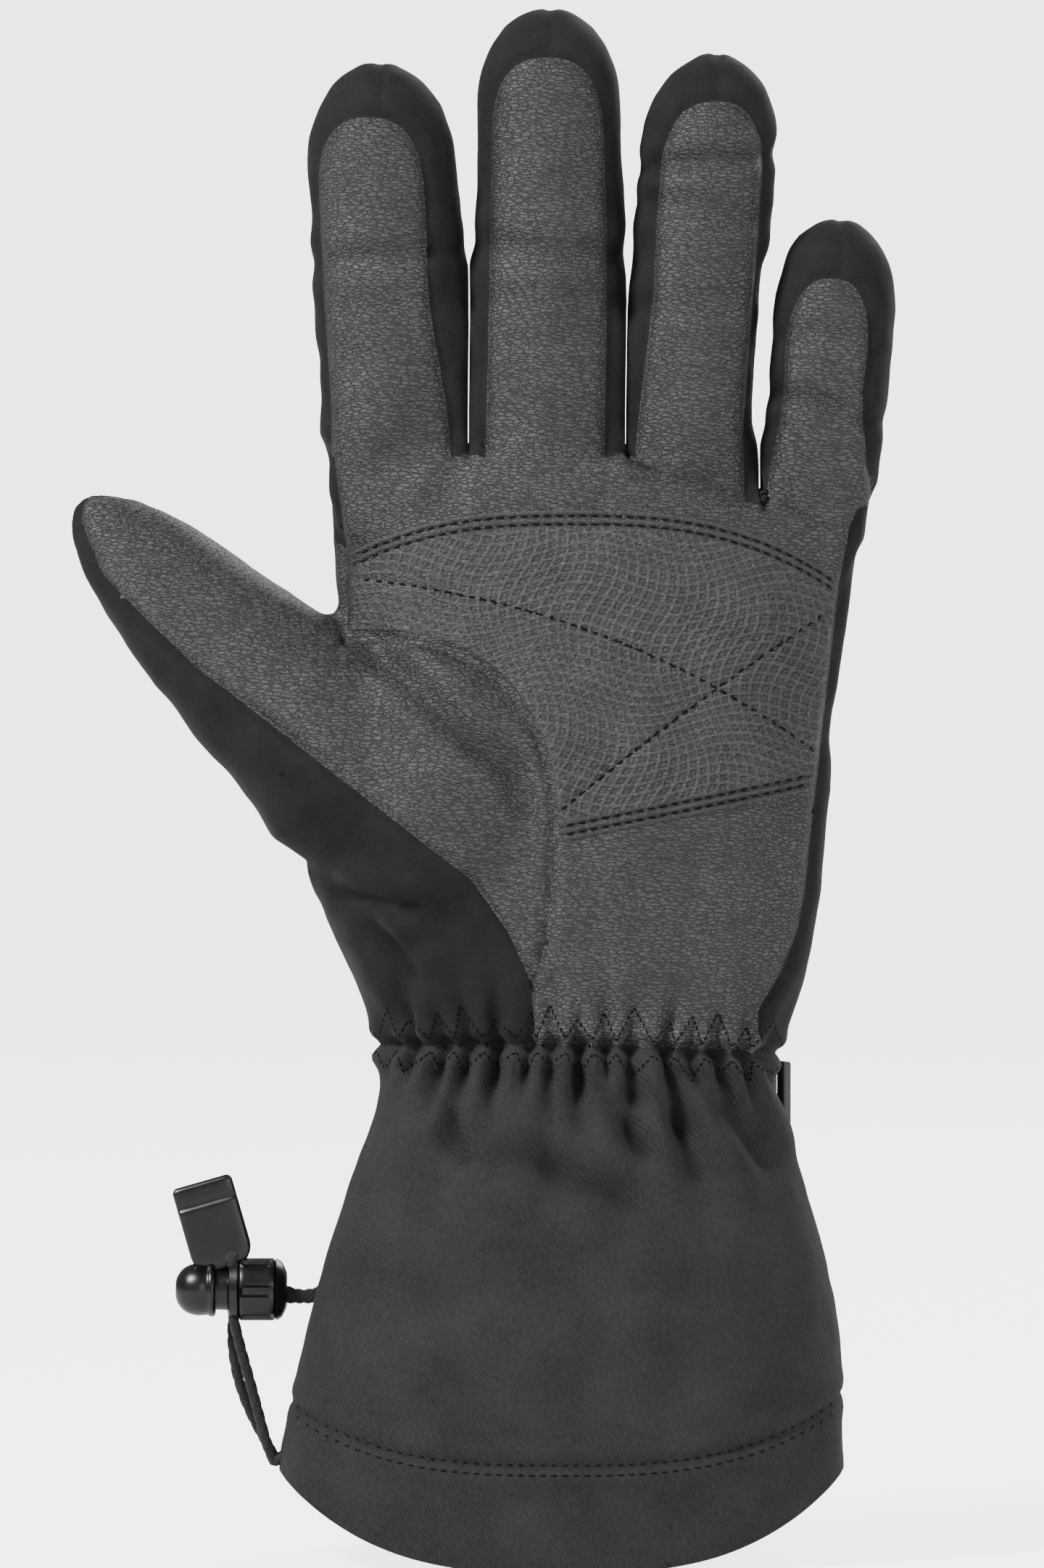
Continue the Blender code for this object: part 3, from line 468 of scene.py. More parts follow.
def pad_by_cloth(obj):
    """Puffs the skin like a stuffed glove: held at the hem and wrist, with loose cloth beside them."""
    before = coordinates(obj.data)
    glove = to_glove(before)
    z = glove[:, 2]
    pin = np.maximum(1 - np.abs(z - WRIST_Z) / 4.0, 0)
    pin = np.maximum(pin, 1 - smoothstep(z, 4, 10))
    loose = np.exp(-(((z - WRIST_Z) / 20.0) ** 2)) * (1 - np.clip(pin, 0, 1))
    held = obj.vertex_groups.new(name="held")
    slack = obj.vertex_groups.new(name="slack")
    for i in range(len(z)):
        if pin[i] > 0.05:
            held.add([i], float(min(pin[i], 1)), "REPLACE")
        if loose[i] > 0.02:
            slack.add([i], float(loose[i]), "REPLACE")
    cloth = obj.modifiers.new("pad", "CLOTH")
    s = cloth.settings
    s.quality = 4
    s.mass = 0.15
    s.tension_stiffness = 14
    s.compression_stiffness = 14
    s.shear_stiffness = 6
    s.bending_stiffness = 0.4
    s.use_pressure = True
    s.uniform_pressure_force = 2.2
    s.vertex_group_mass = "held"
    s.pin_stiffness = 1.0
    s.vertex_group_shrink = "slack"
    s.shrink_max = -0.22
    s.effector_weights.gravity = 0
    cloth.collision_settings.use_self_collision = False
    scene = bpy.context.scene
    cloth.point_cache.frame_start = 1
    cloth.point_cache.frame_end = 16
    for f in range(1, 17):
        scene.frame_set(f)
        obj.evaluated_get(bpy.context.evaluated_depsgraph_get())
    applied(obj)
    scene.frame_set(1)
    after = coordinates(obj.data)
    moved = after - before
    length = np.linalg.norm(moved, axis=1, keepdims=True)
    cap = PADDING_CAP * MM
    moved = moved * np.minimum(1, cap / np.maximum(length, 1e-9))
    set_coordinates(obj.data, before + moved)
    obj.vertex_groups.clear()


# ------------------------------------------------------------ regions and seams


def ramp(value, places, values):
    return np.interp(value, places, values)


def front_share(y, half=4.0):
    """1 on the palm side, 0 on the back, easing through the sides."""
    return 1 - smoothstep(y, -half, half)


def thumb_frame(p):
    """Distance along the thumb and across it, towards the web."""
    away = p - THUMB_ROOT
    return away @ THUMB_ALONG, away @ THUMB_ACROSS


def thumb_radius(p):
    """How far a point is from the thumb's axis, for its width at that place."""
    s, t = thumb_frame(p)
    width = np.maximum(thumb_half(np.clip(s, -20, 30)), 1.0)
    return np.hypot(t / width, (p[:, 1] - THUMB_ROOT[1]) / (width * 0.86))


def wrist_height(x):
    return WRIST_Z + 1.2 - 2.4 * ((x + 9.0) / 46.0) ** 2


def hem_seam(x):
    low, high = to_glove(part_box("hem_band"))
    reach = np.abs(x - (low[0] + high[0]) / 2) / ((high[0] - low[0]) / 2)
    return 21.0 + 12.0 * np.minimum(reach, 1) ** 3


def hem_edge(x):
    low, high = to_glove(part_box("hem_band"))
    reach = np.abs(x - (low[0] + high[0]) / 2) / ((high[0] - low[0]) / 2)
    return np.maximum(0.0, 18.0 * np.minimum(reach, 1) ** 3 - 0.4)


PALM_LEFT = ((60, 185, 201, 222), (-45.8, -45.8, -45.8, -48.6))
PALM_RIGHT_OFFSET = ((103, 111, 118, 126, 156, 174, 196, 206, 213), (6.2, 6.2, 3.8, 2.0, 1.3, 1.4, 2.2, 1.9, 2.2))
SIDE_Z = np.append(np.arange(110.0, 206.0, 8.0), (207.0, 213.0))
LITTLE_SIDE = DIGITS["little"].centres[0] + DIGITS["little"].widths[0]
SIDE_X = np.array([hand_sides(z)[1] for z in SIDE_Z[:-1]] + [LITTLE_SIDE - 0.6])

# How far each finger's leather face stays from the finger's sides: at the knuckle and
# above the middle joint, on the thumb's side and on the other side
FACE_MARGINS = {
    "index": ((1.6, 1.6), (2.3, 6.6)),
    "middle": ((2.3, 2.3), (3.0, 3.0)),
    "ring": ((0.6, 4.0), (2.3, 2.3)),
    "little": ((0.6, 3.4), (1.0, 5.3)),
}
FACE_TOP_SHARE = {"index": 0.504, "middle": 0.563, "ring": 0.51, "little": 0.63}
FACE_ROUND = 15.0

# The seam between the thumb's leather and the softshell below it: place along the thumb
# and height across it
THUMB_SEAM = ((-79, -68, -55, -35.5, -15, 14, 40, 53), (-6.6, -2.4, 0.2, -2.1, -4.0, -7.5, -7.5, -1.6))
THENAR_MIDDLE = np.array((-38.0, 147.0))
THENAR_HALF = (33.8, 38.0, 60.0)
SOFTSHELL_EDGE_X = -8.1


def face_distance(name, x, z):
    """Above 0 inside a finger's leather face, in millimetres from its seam."""
    digit = DIGITS[name]
    top = digit.tip_z - digit.dome * FACE_TOP_SHARE[name]
    share = smoothstep(z, digit.knuckle[2], digit.middle[2])
    near, far = FACE_MARGINS[name]
    width = np.interp(z, digit.heights, digit.widths)
    left = digit.centre(z) - width + near[0] + (near[1] - near[0]) * share
    right = digit.centre(z) + width - far[0] - (far[1] - far[0]) * share
    half = (right - left) / 2
    u = (x - (left + right) / 2) / half
    q = np.maximum(0, (z - (top - FACE_ROUND)) / FACE_ROUND)
    return (1 - (np.abs(u) ** 2.5 + q**2.3) ** (1 / 2.4)) * half


def middle_of_gap(k, z):
    """Where finger k meets its neighbour, at each height."""
    levels = np.clip(z, 205, 300)
    first, second = DIGITS[FINGERS[k]], DIGITS[FINGERS[k + 1]]
    right = first.centre(levels) + np.interp(levels, first.heights, first.widths)
    left = second.centre(levels) - np.interp(levels, second.heights, second.widths)
    return (right + left) / 2


def nearest_finger(x, z):
    """Index of the finger each point belongs to, by the gaps between them."""
    places = np.zeros(len(x), int)
    for k in range(3):
        places += (x > middle_of_gap(k, z)).astype(int)
    return places


def kept_apart(p, own):
    """Keeps the points of neighbouring fingers on their own sides of the gap."""
    moved = p.copy()
    x, z = p[:, 0], p[:, 2]
    for k in range(3):
        line = middle_of_gap(k, z)
        near = (np.abs(x - line) < 5) & (z > knuckle_line(x) + 1)
        left, right = near & (own <= k), near & (own > k)
        moved[left, 0] = np.minimum(x[left], line[left] - PARTING)
        moved[right, 0] = np.maximum(x[right], line[right] + PARTING)
    return moved


def palm_distance(p):
    """Above 0 on the palm side, in millimetres from the edges of the leather."""
    x, y, z = p.T
    left = x - ramp(z, *PALM_LEFT)
    right = ramp(z, SIDE_Z, SIDE_X) - ramp(z, *PALM_RIGHT_OFFSET) - x
    palm = np.minimum(left, right)
    finger = nearest_finger(x, z)
    faces = np.choose(finger, [face_distance(f, x, z) for f in FINGERS])
    line = knuckle_line(x)
    distance = np.where(z > line - 1.0, faces, palm)
    return np.where(y < 0, distance, -9.0)


def thenar_distance(p):
    """Above 0 on the palm outside the thenar seam, below 0 on the thumb's leather."""
    x, _, z = p.T
    rx, above, below = THENAR_HALF
    dx = np.maximum((x - THENAR_MIDDLE[0]) / rx, 0)
    dz = (z - THENAR_MIDDLE[1]) / np.where(z > THENAR_MIDDLE[1], above, below)
    oval = ((dx**2.2 + np.abs(dz) ** 2.2) ** (1 / 2.2) - 1) * rx
    return np.where(z > 117.0, oval, x - SOFTSHELL_EDGE_X)


def thumb_seam_distance(p):
    """Above 0 on the leather above the thumb's seam, below 0 on the softshell."""
    s, t = thumb_frame(p)
    front = t - ramp(s, *THUMB_SEAM)
    back = t - (9.0 + 24.0 * smoothstep(-s, 2, 16))
    share = front_share(p[:, 1] - THUMB_ROOT[1])
    return back * (1 - share) + front * share


def on_thumb(p):
    """Points that belong to the thumb's part of the skin."""
    s, t = thumb_frame(p)
    left_of_palm = p[:, 0] < ramp(p[:, 2], *PALM_LEFT)
    return (s > -26) & left_of_palm & (t < 30)


LEATHER, THUMB_LEATHER, SOFTSHELL, TWILL = range(4)
FABRICS = ("leather", "thumb_leather", "softshell", "twill")


def fabric_of(p):
    """The fabric at each point of the skin."""
    x, y, z = p.T
    palm = palm_distance(p) > 0
    inside = thenar_distance(p) < 0
    above = thumb_seam_distance(p) > 0
    thumb = on_thumb(p)
    front = y < 0
    fabric = np.full(len(x), SOFTSHELL)
    fabric[palm & ~inside] = LEATHER
    fabric[inside & front & (z < 186)] = SOFTSHELL
    fabric[inside & front & above & (z < 186)] = THUMB_LEATHER
    fabric[thumb & above] = THUMB_LEATHER
    fabric[thumb & ~above] = SOFTSHELL
    fabric[z < wrist_height(x)] = TWILL
    return fabric


# ------------------------------------------------------------ body zones

ZONE_DROP = 15.5
SPLIT_Z = {"index": 242.0, "middle": 243.0, "ring": 241.0, "little": 226.0}
THUMB_CUT = -14.0
THUMB_SPLIT = 11.5
ZONES = ["base"] + [f + "_low" for f in FINGERS] + [f + "_up" for f in FINGERS] + ["thumb_low", "thumb_up"]


def zone_of(p):
    """Which pair of bodies each point lies between."""
    x, y, z = p.T
    zone = np.zeros(len(x), int)
    finger = nearest_finger(x, z)
    raised = z > knuckle_line(x) - ZONE_DROP
    s, t = thumb_frame(p)
    thumb = (s > THUMB_CUT) & (x < -46.5) & (z < 232) & (thumb_radius(p) < 1.6)
    for k, f in enumerate(FINGERS):
        mine = raised & (finger == k) & ~thumb
        zone[mine] = 1 + k
        zone[mine & (z > SPLIT_Z[f])] = 5 + k
    zone[thumb] = 9
    zone[thumb & (s > THUMB_SPLIT)] = 10
    return zone


def crossings(p):
    """Signed functions whose zero lines the mesh is cut along, with where each applies."""
    x, y, z = p.T
    front = y < 2
    thumb_zone = (x < 0) & (z > 104) & (z < 235)
    s, _ = thumb_frame(p)
    cuts = [
        (palm_distance(p), front & (z > 104)),
        (thenar_distance(p), front & (x < 0) & (z < 186) & (z > 104)),
        (thumb_seam_distance(p), thumb_zone),
        (z - wrist_height(x), z < 112),
        (z - hem_edge(x), z < 30),
        (z - (knuckle_line(x) - ZONE_DROP), x > -52),
        (s - THUMB_CUT, x < -44),
        (s - THUMB_SPLIT, x < -60),
    ]
    for k, f in enumerate(FINGERS):
        cuts.append((z - SPLIT_Z[f], nearest_finger(x, z) == k))
    return cuts


# ------------------------------------------------------------ shaping the skin


def snapped(points, edges, values, active, limit=0.62):
    """Moves the nearer end of every edge that a zero line crosses onto that line."""
    a, b = edges[:, 0], edges[:, 1]
    va, vb = values[a], values[b]
    crossing = (va * vb < 0) & active[a] & active[b] & (np.abs(va) + np.abs(vb) < 6)
    a, b, va, vb = a[crossing], b[crossing], va[crossing], vb[crossing]
    share = va / (va - vb)
    target = points[a] * (1 - share[:, None]) + points[b] * share[:, None]
    nearer = np.where(share < 0.5, a, b)
    closeness = np.minimum(share, 1 - share)
    chosen = closeness < limit
    total = np.zeros_like(points)
    count = np.zeros(len(points))
    np.add.at(total, nearer[chosen], target[chosen])
    np.add.at(count, nearer[chosen], 1)
    moved = points.copy()
    hit = count > 0
    moved[hit] = total[hit] / count[hit, None]
    return moved


def groove(distance, depth=0.75, width=0.85, ridge=0.3):
    """Profile of a sewn seam: a narrow valley with the cloth puffed up beside it."""
    return -depth * bump(distance, width) + ridge * bump(np.abs(distance) - 2.8, 1.7)


def crease(x, z, start, end, width, depth, ends=0.18):
    """A fold line in the xz plane: below 0 in its valley, above 0 on both of its lips."""
    a, b = np.array(start), np.array(end)
    along = (b - a) / np.linalg.norm(b - a)
    dx, dz = x - a[0], z - a[1]
    t = (dx * along[0] + dz * along[1]) / np.linalg.norm(b - a)
    off = dx * -along[1] + dz * along[0]
    fade = smoothstep(t, -ends, ends) * (1 - smoothstep(t, 1 - ends, 1 + ends))
    return depth * fade * (-bump(off, width) + 0.55 * bump(np.abs(off) - 2.0 * width, 1.2 * width))


def swell(x, z, start, end, width, height):
    """Fullness along a line in the xz plane."""
    a, b = np.array(start), np.array(end)
    t = np.clip(((x - a[0]) * (b - a)[0] + (z - a[1]) * (b - a)[1]) / ((b - a) @ (b - a)), 0, 1)
    away = np.hypot(x - a[0] - t * (b - a)[0], z - a[1] - t * (b - a)[1])
    return height * bump(away, width)


def soft_noise(points, size, seed):
    out = np.zeros(len(points))
    offset = Vector((seed * 17.3, seed * 5.1, seed * 9.7))
    for i, p in enumerate(points):
        out[i] = noise.noise(Vector(p) / size + offset)
    return out


# Creases across the finger faces: finger, height, how far they slope, width, depth
FINGER_CREASES = (
    ("index", 261.6, 1.4, 2.3, 0.85),
    ("index", 240.0, -1.6, 2.6, 0.35),
    ("middle", 263.2, -0.6, 2.4, 0.85),
    ("middle", 253.0, 0.8, 2.0, 0.4),
    ("ring", 280.8, 1.7, 1.9, 1.1),
    ("ring", 270.5, -2.0, 2.4, 0.6),
    ("ring", 252.0, 1.8, 2.6, 0.45),
    ("little", 231.5, -3.2, 2.0, 0.8),
    ("little", 246.0, 1.0, 2.0, 0.35),
)

# Folds on the palm side, in thumb leather, softshell and cuff: start, end, width, depth
FRONT_FOLDS = (
    ((-37.8, 181), (-13, 159.5), 2.8, 2.0),
    ((-13, 161), (-8, 148), 2.6, 1.0),
    ((-66, 172), (-46, 158), 2.2, 0.5),
    ((-88, 187), (-79, 178), 1.8, 0.9),
    ((-71, 160), (-52, 146), 2.4, 0.6),
    ((-48, 134), (-31, 131), 2.2, 1.7),
    ((-42, 130), (-31, 116), 2.6, 1.7),
    ((-30, 210), (-20, 221), 2.6, 0.6),
    ((-14, 83), (11, 72), 3.6, 2.6),
    ((-26, 91), (-21, 80), 2.4, 1.8),
    ((-44, 78), (-37, 90), 3.0, 1.3),
    ((4, 96), (16, 82), 2.2, 1.4),
    ((12, 95), (23, 86), 2.4, 1.6),
    ((28, 93), (42, 79), 2.4, 1.6),
    ((-46, 60), (-20, 50), 4.5, 0.8),
    ((10, 58), (42, 48), 5.0, 0.8),
)


# Where the padding is fuller or tighter at the sides: start, end, width, height
FULLNESS = (
    ((-57, 147), (-53, 140), 5.5, 2.8),
    ((-48, 198), (-48, 222), 7.0, 1.0),
    ((-22, 256), (-23, 272), 4.0, 0.4),
    ((-21, 229), (-21, 246), 3.5, 0.45),
    ((-21, 219), (-21, 225), 2.5, 0.7),
    ((10.4, 219), (10.4, 225), 2.5, 0.7),
    ((10.7, 243), (10.7, 250), 2.5, 0.35),
    ((53, 137), (52, 157), 6.0, 0.8),
    ((37.5, 229), (40.6, 258), 4.5, -1.2),
    ((-99, 210), (-78, 171), 6.0, 1.3),
    ((-74, 164), (-60, 148), 5.0, 1.0),
)

GATHER_PITCH = 5.4
GATHER_COUNT = 17


def gathers():
    """Where each gathered fold crosses the wrist seam, and how it runs up and down."""
    folds = []
    for k in range(GATHER_COUNT):
        wander = math.sin(k * 2.4) + 0.5 * math.sin(k * 5.3 + 1.0)
        x = MIDDLE_OF_WRIST + GATHER_PITCH * (k - (GATHER_COUNT - 1) / 2) + 0.7 * wander
        fan = (x - MIDDLE_OF_WRIST) / 40.0
        folds.append(
            {
                "x": x,
                "down": 16.0 + 9.0 * math.sin(k * 1.9 + 0.5),
                "down_lean": 0.42 * fan + 0.16 * math.sin(k * 3.1),
                "up": 8.5 + 4.0 * math.sin(k * 2.7 + 2.0),
                "up_lean": 0.30 * fan + 0.12 * math.sin(k * 1.3),
                "deep": 1.0 + 0.3 * math.sin(k * 4.1),
            }
        )
    return folds


MIDDLE_OF_WRIST = 1.2


def gather_relief(x, y, z):
    """The elastic draws the wrist into folds that fan out over the cuff and the hand."""
    above = z - wrist_height(x)
    relief = -0.9 * bump(above + 1.0, 6.5)
    near_side = np.clip((np.abs(x - MIDDLE_OF_WRIST) - 30.0) / 12.0, 0, 1)
    for fold in gathers():
        for way, reach, lean in ((-1, fold["down"], fold["down_lean"]), (1, fold["up"], fold["up_lean"])):
            run = np.maximum(above * way, 0)
            line = fold["x"] + lean * run
            width = 1.1 + 0.085 * run
            fade = np.exp(-((run / reach) ** 2)) * (above * way > 0)
            off = x - line
            valley = -bump(off, width) + 0.45 * bump(np.abs(off) - 2.1 * width, 1.1 * width)
            depth = fold["deep"] * (2.0 if way < 0 else 1.4) * (1 - 0.5 * near_side)
            depth = depth * (1 + 0.05 * run)
            relief = relief + valley * fade * depth
    return relief


def skin_relief(p):
    """How far each point of the skin is pushed out, in millimetres."""
    x, y, z = p.T
    front = front_share(y, 3.0)
    relief = 0.42 * soft_noise(p, 13.0, 1) + 0.16 * soft_noise(p, 5.0, 2)

    for name, height, slope, width, depth in FINGER_CREASES:
        digit = DIGITS[name]
        mine = nearest_finger(x, z) == FINGERS.index(name)
        here = mine & (z > knuckle_line(x))
        centre, half = float(digit.centre(height)), float(digit.half(height)[0])
        line = crease(x, z, (centre - half, height - slope), (centre + half, height + slope), width, depth)
        relief = relief + np.where(here, line * front, 0)
    for start, end, width, depth in FRONT_FOLDS:
        relief = relief + crease(x, z, start, end, width, depth) * front
    for start, end, width, height in FULLNESS:
        relief = relief + swell(x, z, start, end, width, height)

    return relief + gather_relief(x, y, z)


def seam_relief(p):
    """Sewn seams, worked in after the wide folds."""
    x, y, z = p.T
    upper = z > 106
    palm = palm_distance(p)
    thenar = thenar_distance(p)
    thumb = thumb_seam_distance(p)
    front = y < 1
    relief = np.zeros(len(x))
    relief += np.where(front & upper & ((thenar > -1) | (z > 187)), groove(palm), 0)
    relief += np.where(front & upper & (palm > -2) & (z < 186) & (x > -46), groove(thenar, 1.0, 0.8, 0.25), 0)
    thumb_here = (thenar < 2) & front | on_thumb(p)
    relief += np.where(upper & thumb_here & (z < 230), groove(thumb, 0.8), 0)
    relief += np.where(z < 114, groove(z - wrist_height(x), 1.1, 1.1, 0.5), 0)
    relief += np.where(z < 60, groove(z - hem_seam(x), 0.5, 0.8, 0.25), 0)
    for k, name in enumerate(FINGERS):
        digit = DIGITS[name]
        top = digit.tip_z - digit.dome * FACE_TOP_SHARE[name]
        tip_seam = x - float(digit.centre(digit.tip_z)) - 0.5
        here = (nearest_finger(x, z) == k) & (z > top + 0.5) & front
        relief += np.where(here, groove(tip_seam, 0.45, 0.7, 0.15), 0)
    return relief


def shaped_skin():
    """The glove's skin with its padding, folds and seams, and its points before the seams."""
    obj = fused_skin()
    pad_by_cloth(obj)
    set_coordinates(obj.data, to_frame(unspread(to_glove(coordinates(obj.data)))))
    sub = obj.modifiers.new("finer", "SUBSURF")
    sub.levels = 1
    sub.render_levels = 1
    applied(obj)
    bm = bmesh.new()
    bm.from_mesh(obj.data)
    bmesh.ops.triangulate(bm, faces=bm.faces)
    bm.to_mesh(obj.data)
    bm.free()
    mesh = obj.data
    p = to_glove(coordinates(mesh))
    own = nearest_finger(p[:, 0], p[:, 2])
    p = close_gaps(p)
    set_coordinates(mesh, to_frame(p))
    p = kept_apart(p + normals(mesh) * skin_relief(p)[:, None], own)
    edges = np.zeros(len(mesh.edges) * 2, int)
    mesh.edges.foreach_get("vertices", edges)
    edges = edges.reshape(-1, 2)
    for k in range(len(crossings(p))):
        values, active = crossings(p)[k]
        p = snapped(p, edges, values, active)
    p = kept_apart(p, own)
    set_coordinates(mesh, to_frame(p))
    sewn = kept_apart(p + normals(mesh) * seam_relief(p)[:, None], own)
    set_coordinates(mesh, to_frame(sewn))
    return obj, p


# ------------------------------------------------------------ splitting into pieces


def keep_rest_place(mesh):
    """Stores where each point is at rest, so that a material doesn't slide in a pose."""
    found = mesh.attributes.new("rest", "FLOAT_VECTOR", "POINT")
    co = coordinates(mesh)
    found.data.foreach_set("vector", co.astype(np.float32).ravel())


def split_piece(source, name, chosen, mat, thickness=0.0):
    """A new object from some triangles of the skin, shaded as part of the whole."""
    mesh = source.data
    tri = np.zeros(len(mesh.polygons) * 3, int)
    mesh.polygons.foreach_get("vertices", tri)
    tri = tri.reshape(-1, 3)[chosen]
    used, remap = np.unique(tri, return_inverse=True)
    co = coordinates(mesh)[used]
    part = new_object(name, co, remap.reshape(-1, 3).tolist())
    part.data.shade_smooth()
    vertex_normals = normals(mesh)[used]
    part.data.normals_split_custom_set_from_vertices([tuple(n) for n in vertex_normals])
    keep_rest_place(part.data)
    part.data.materials.append(mat)
    return part


# ------------------------------------------------------------ materials


class Shader:
    """A Principled material with a short way to add and join nodes."""

    def __init__(self, name, roughness=0.5, on_cad=False):
        self.material = bpy.data.materials.new(name)
        self.material.use_nodes = True
        self.tree = self.material.node_tree
        self.surface = self.tree.nodes["Principled BSDF"]
        self.surface.inputs["Roughness"].default_value = roughness
        if on_cad:
            place = self.node("ShaderNodeTexCoord").outputs["Object"]
        else:
            rest = self.node("ShaderNodeAttribute")
            rest.attribute_name = "rest"
            place = rest.outputs["Vector"]
        self.place = self.stretch(place, (1 / MM, 1 / MM, 1 / MM))

    def node(self, kind):
        return self.tree.nodes.new(kind)

    def link(self, a, b):
        self.tree.links.new(a, b)

    def stretch(self, vector, scale):
        scaled = self.node("ShaderNodeVectorMath")
        scaled.operation = "MULTIPLY"
        self.link(vector, scaled.inputs[0])
        scaled.inputs[1].default_value = scale
        return scaled.outputs[0]

    def noise(self, scale, detail=2.0, stretch=(1, 1, 1), warp=0.0):
        made = self.node("ShaderNodeTexNoise")
        made.inputs["Scale"].default_value = scale
        made.inputs["Detail"].default_value = detail
        made.inputs["Distortion"].default_value = warp
        self.link(self.stretch(self.place, stretch), made.inputs["Vector"])
        return made.outputs["Fac"]

    def cells(self, scale, stretch=(1, 1, 1), feature="DISTANCE_TO_EDGE"):
        made = self.node("ShaderNodeTexVoronoi")
        made.feature = feature
        made.inputs["Scale"].default_value = scale
        warped = self.node("ShaderNodeVectorMath")
        warped.operation = "ADD"
        self.link(self.stretch(self.place, stretch), warped.inputs[0])
        wobble = self.node("ShaderNodeTexNoise")
        wobble.inputs["Scale"].default_value = scale * 0.9
        self.link(self.place, wobble.inputs["Vector"])
        self.link(wobble.outputs["Color"], warped.inputs[1])
        self.link(warped.outputs[0], made.inputs["Vector"])
        return made.outputs["Distance"]

    def wave(self, scale, direction=(1, 0, 1), warp=0.0):
        """Ribs across a direction, scale per millimetre."""
        dot = self.node("ShaderNodeVectorMath")
        dot.operation = "DOT_PRODUCT"
        self.link(self.place, dot.inputs[0])
        dot.inputs[1].default_value = direction
        value = dot.outputs["Value"]
        if warp:
            value = self.sum(value, self.scaled(self.noise(0.12, 1.0), warp))
        return self.maths("SINE", self.scaled(value, scale * 2 * math.pi))

    def maths(self, operation, a, b=None):
        made = self.node("ShaderNodeMath")
        made.operation = operation
        for k, value in enumerate((a, b)):
            if value is None:
                continue
            if isinstance(value, (int, float)):
                made.inputs[k].default_value = value
            else:
                self.link(value, made.inputs[k])
        return made.outputs[0]

    def scaled(self, a, factor):
        return self.maths("MULTIPLY", a, factor)

    def sum(self, a, b):
        return self.maths("ADD", a, b)

    def times(self, a, b):
        """Product of two colours."""
        made = self.node("ShaderNodeMix")
        made.data_type = "RGBA"
        made.blend_type = "MULTIPLY"
        made.inputs["Factor"].default_value = 1.0
        self.link(a, made.inputs["A"])
        self.link(b, made.inputs["B"])
        return made.outputs["Result"]

    def ramp(self, value, stops):
        made = self.node("ShaderNodeValToRGB")
        self.link(value, made.inputs["Fac"])
        elements = made.color_ramp.elements
        for k, (at, colour) in enumerate(stops):
            if k < 2:
                element = elements[k]
                element.position = at
            else:
                element = elements.new(at)
            element.color = (*colour, 1.0)
        return made.outputs["Color"]

    def colour(self, output):
        self.link(output, self.surface.inputs["Base Color"])

    def rough(self, output):
        self.link(output, self.surface.inputs["Roughness"])

    def height(self, output, distance, strength=1.0):
        """Adds a bump of a height in millimetres, on top of earlier ones."""
        made = self.node("ShaderNodeBump")
        made.inputs["Distance"].default_value = distance * MM
        made.inputs["Strength"].default_value = strength
        self.link(output, made.inputs["Height"])
        normal = self.surface.inputs["Normal"]
        if normal.is_linked:
            self.link(normal.links[0].from_socket, made.inputs["Normal"])
        self.link(made.outputs["Normal"], normal)

    def dull(self, level):
        self.surface.inputs["Specular IOR Level"].default_value = level

    def sheen(self, weight, roughness=0.5):
        self.surface.inputs["Sheen Weight"].default_value = weight
        self.surface.inputs["Sheen Roughness"].default_value = roughness

    def edges(self, base, convex_colour):
        """Lighter where the form is sharply convex."""
        geometry = self.node("ShaderNodeNewGeometry")
        point = self.node("ShaderNodeMapRange")
        point.inputs["From Min"].default_value = 0.5
        point.inputs["From Max"].default_value = 0.62
        self.link(geometry.outputs["Pointiness"], point.inputs["Value"])
        mixed = self.node("ShaderNodeMix")
        mixed.data_type = "RGBA"
        self.link(point.outputs["Result"], mixed.inputs["Factor"])
        self.link(base, mixed.inputs["A"])
        mixed.inputs["B"].default_value = (*convex_colour, 1.0)
        return mixed.outputs["Result"]

    def hollows(self, base, level):
        """Painted shade: darker along seams and at the bottom of folds, where the form is concave."""
        geometry = self.node("ShaderNodeNewGeometry")
        shade = self.ramp(geometry.outputs["Pointiness"], ((0.43, grey(level)), (0.497, grey(1.0))))
        return self.times(base, shade)


def grey(value, tint=0.0):
    return (value * (1 - tint), value, value * (1 + tint))


def leather_material(name, tone, embossed=False):
    """Supple leather: short sideways wrinkles, fine pores, slightly lighter high spots and painted shade in its
    creases and recesses.
    """
    m = Shader(name, 0.55)
    wide = m.noise(0.1, 3.0)
    squiggle = m.noise(1.05, 3.0, (1.0, 1.0, 2.3), 0.9)
    cells = m.cells(0.92, (0.6, 1.0, 1.7))
    pores = m.noise(4.5, 2.0)
    crack = m.ramp(cells, ((0.03, grey(0.16)), (0.2, grey(1.2))))
    base = m.ramp(m.sum(m.scaled(wide, 0.5), m.scaled(squiggle, 0.5)),
                  ((0.32, grey(tone * 0.62, 0.02)), (0.68, grey(tone * 1.35, 0.02))))
    if embossed:
        # Painted shade from the embossing: the stored tone is darker in the sunken cells and stitch rows and lighter
        # on the raised net.
        painted_emboss_shade = m.node("ShaderNodeAttribute")
        painted_emboss_shade.attribute_name = "emboss_shade"
        base = m.times(base, m.ramp(painted_emboss_shade.outputs["Fac"], ((0.1, grey(0.25)), (0.95, grey(1.6)))))
        m.colour(m.edges(base, grey(tone * 1.6)))
    else:
        # Painted shade along the seams and in the bottom of the folds.
        m.colour(m.hollows(m.times(m.edges(base, grey(tone * 1.6)), crack), 0.35))
    m.rough(m.sum(m.scaled(squiggle, 0.22), 0.42))
    m.height(m.maths("MINIMUM", m.scaled(cells, 2.5), 0.55), 0.4, 0.7)
    m.height(squiggle, 0.55, 0.5)
    m.height(pores, 0.08, 0.4)
    m.dull(0.5)
    return m.material


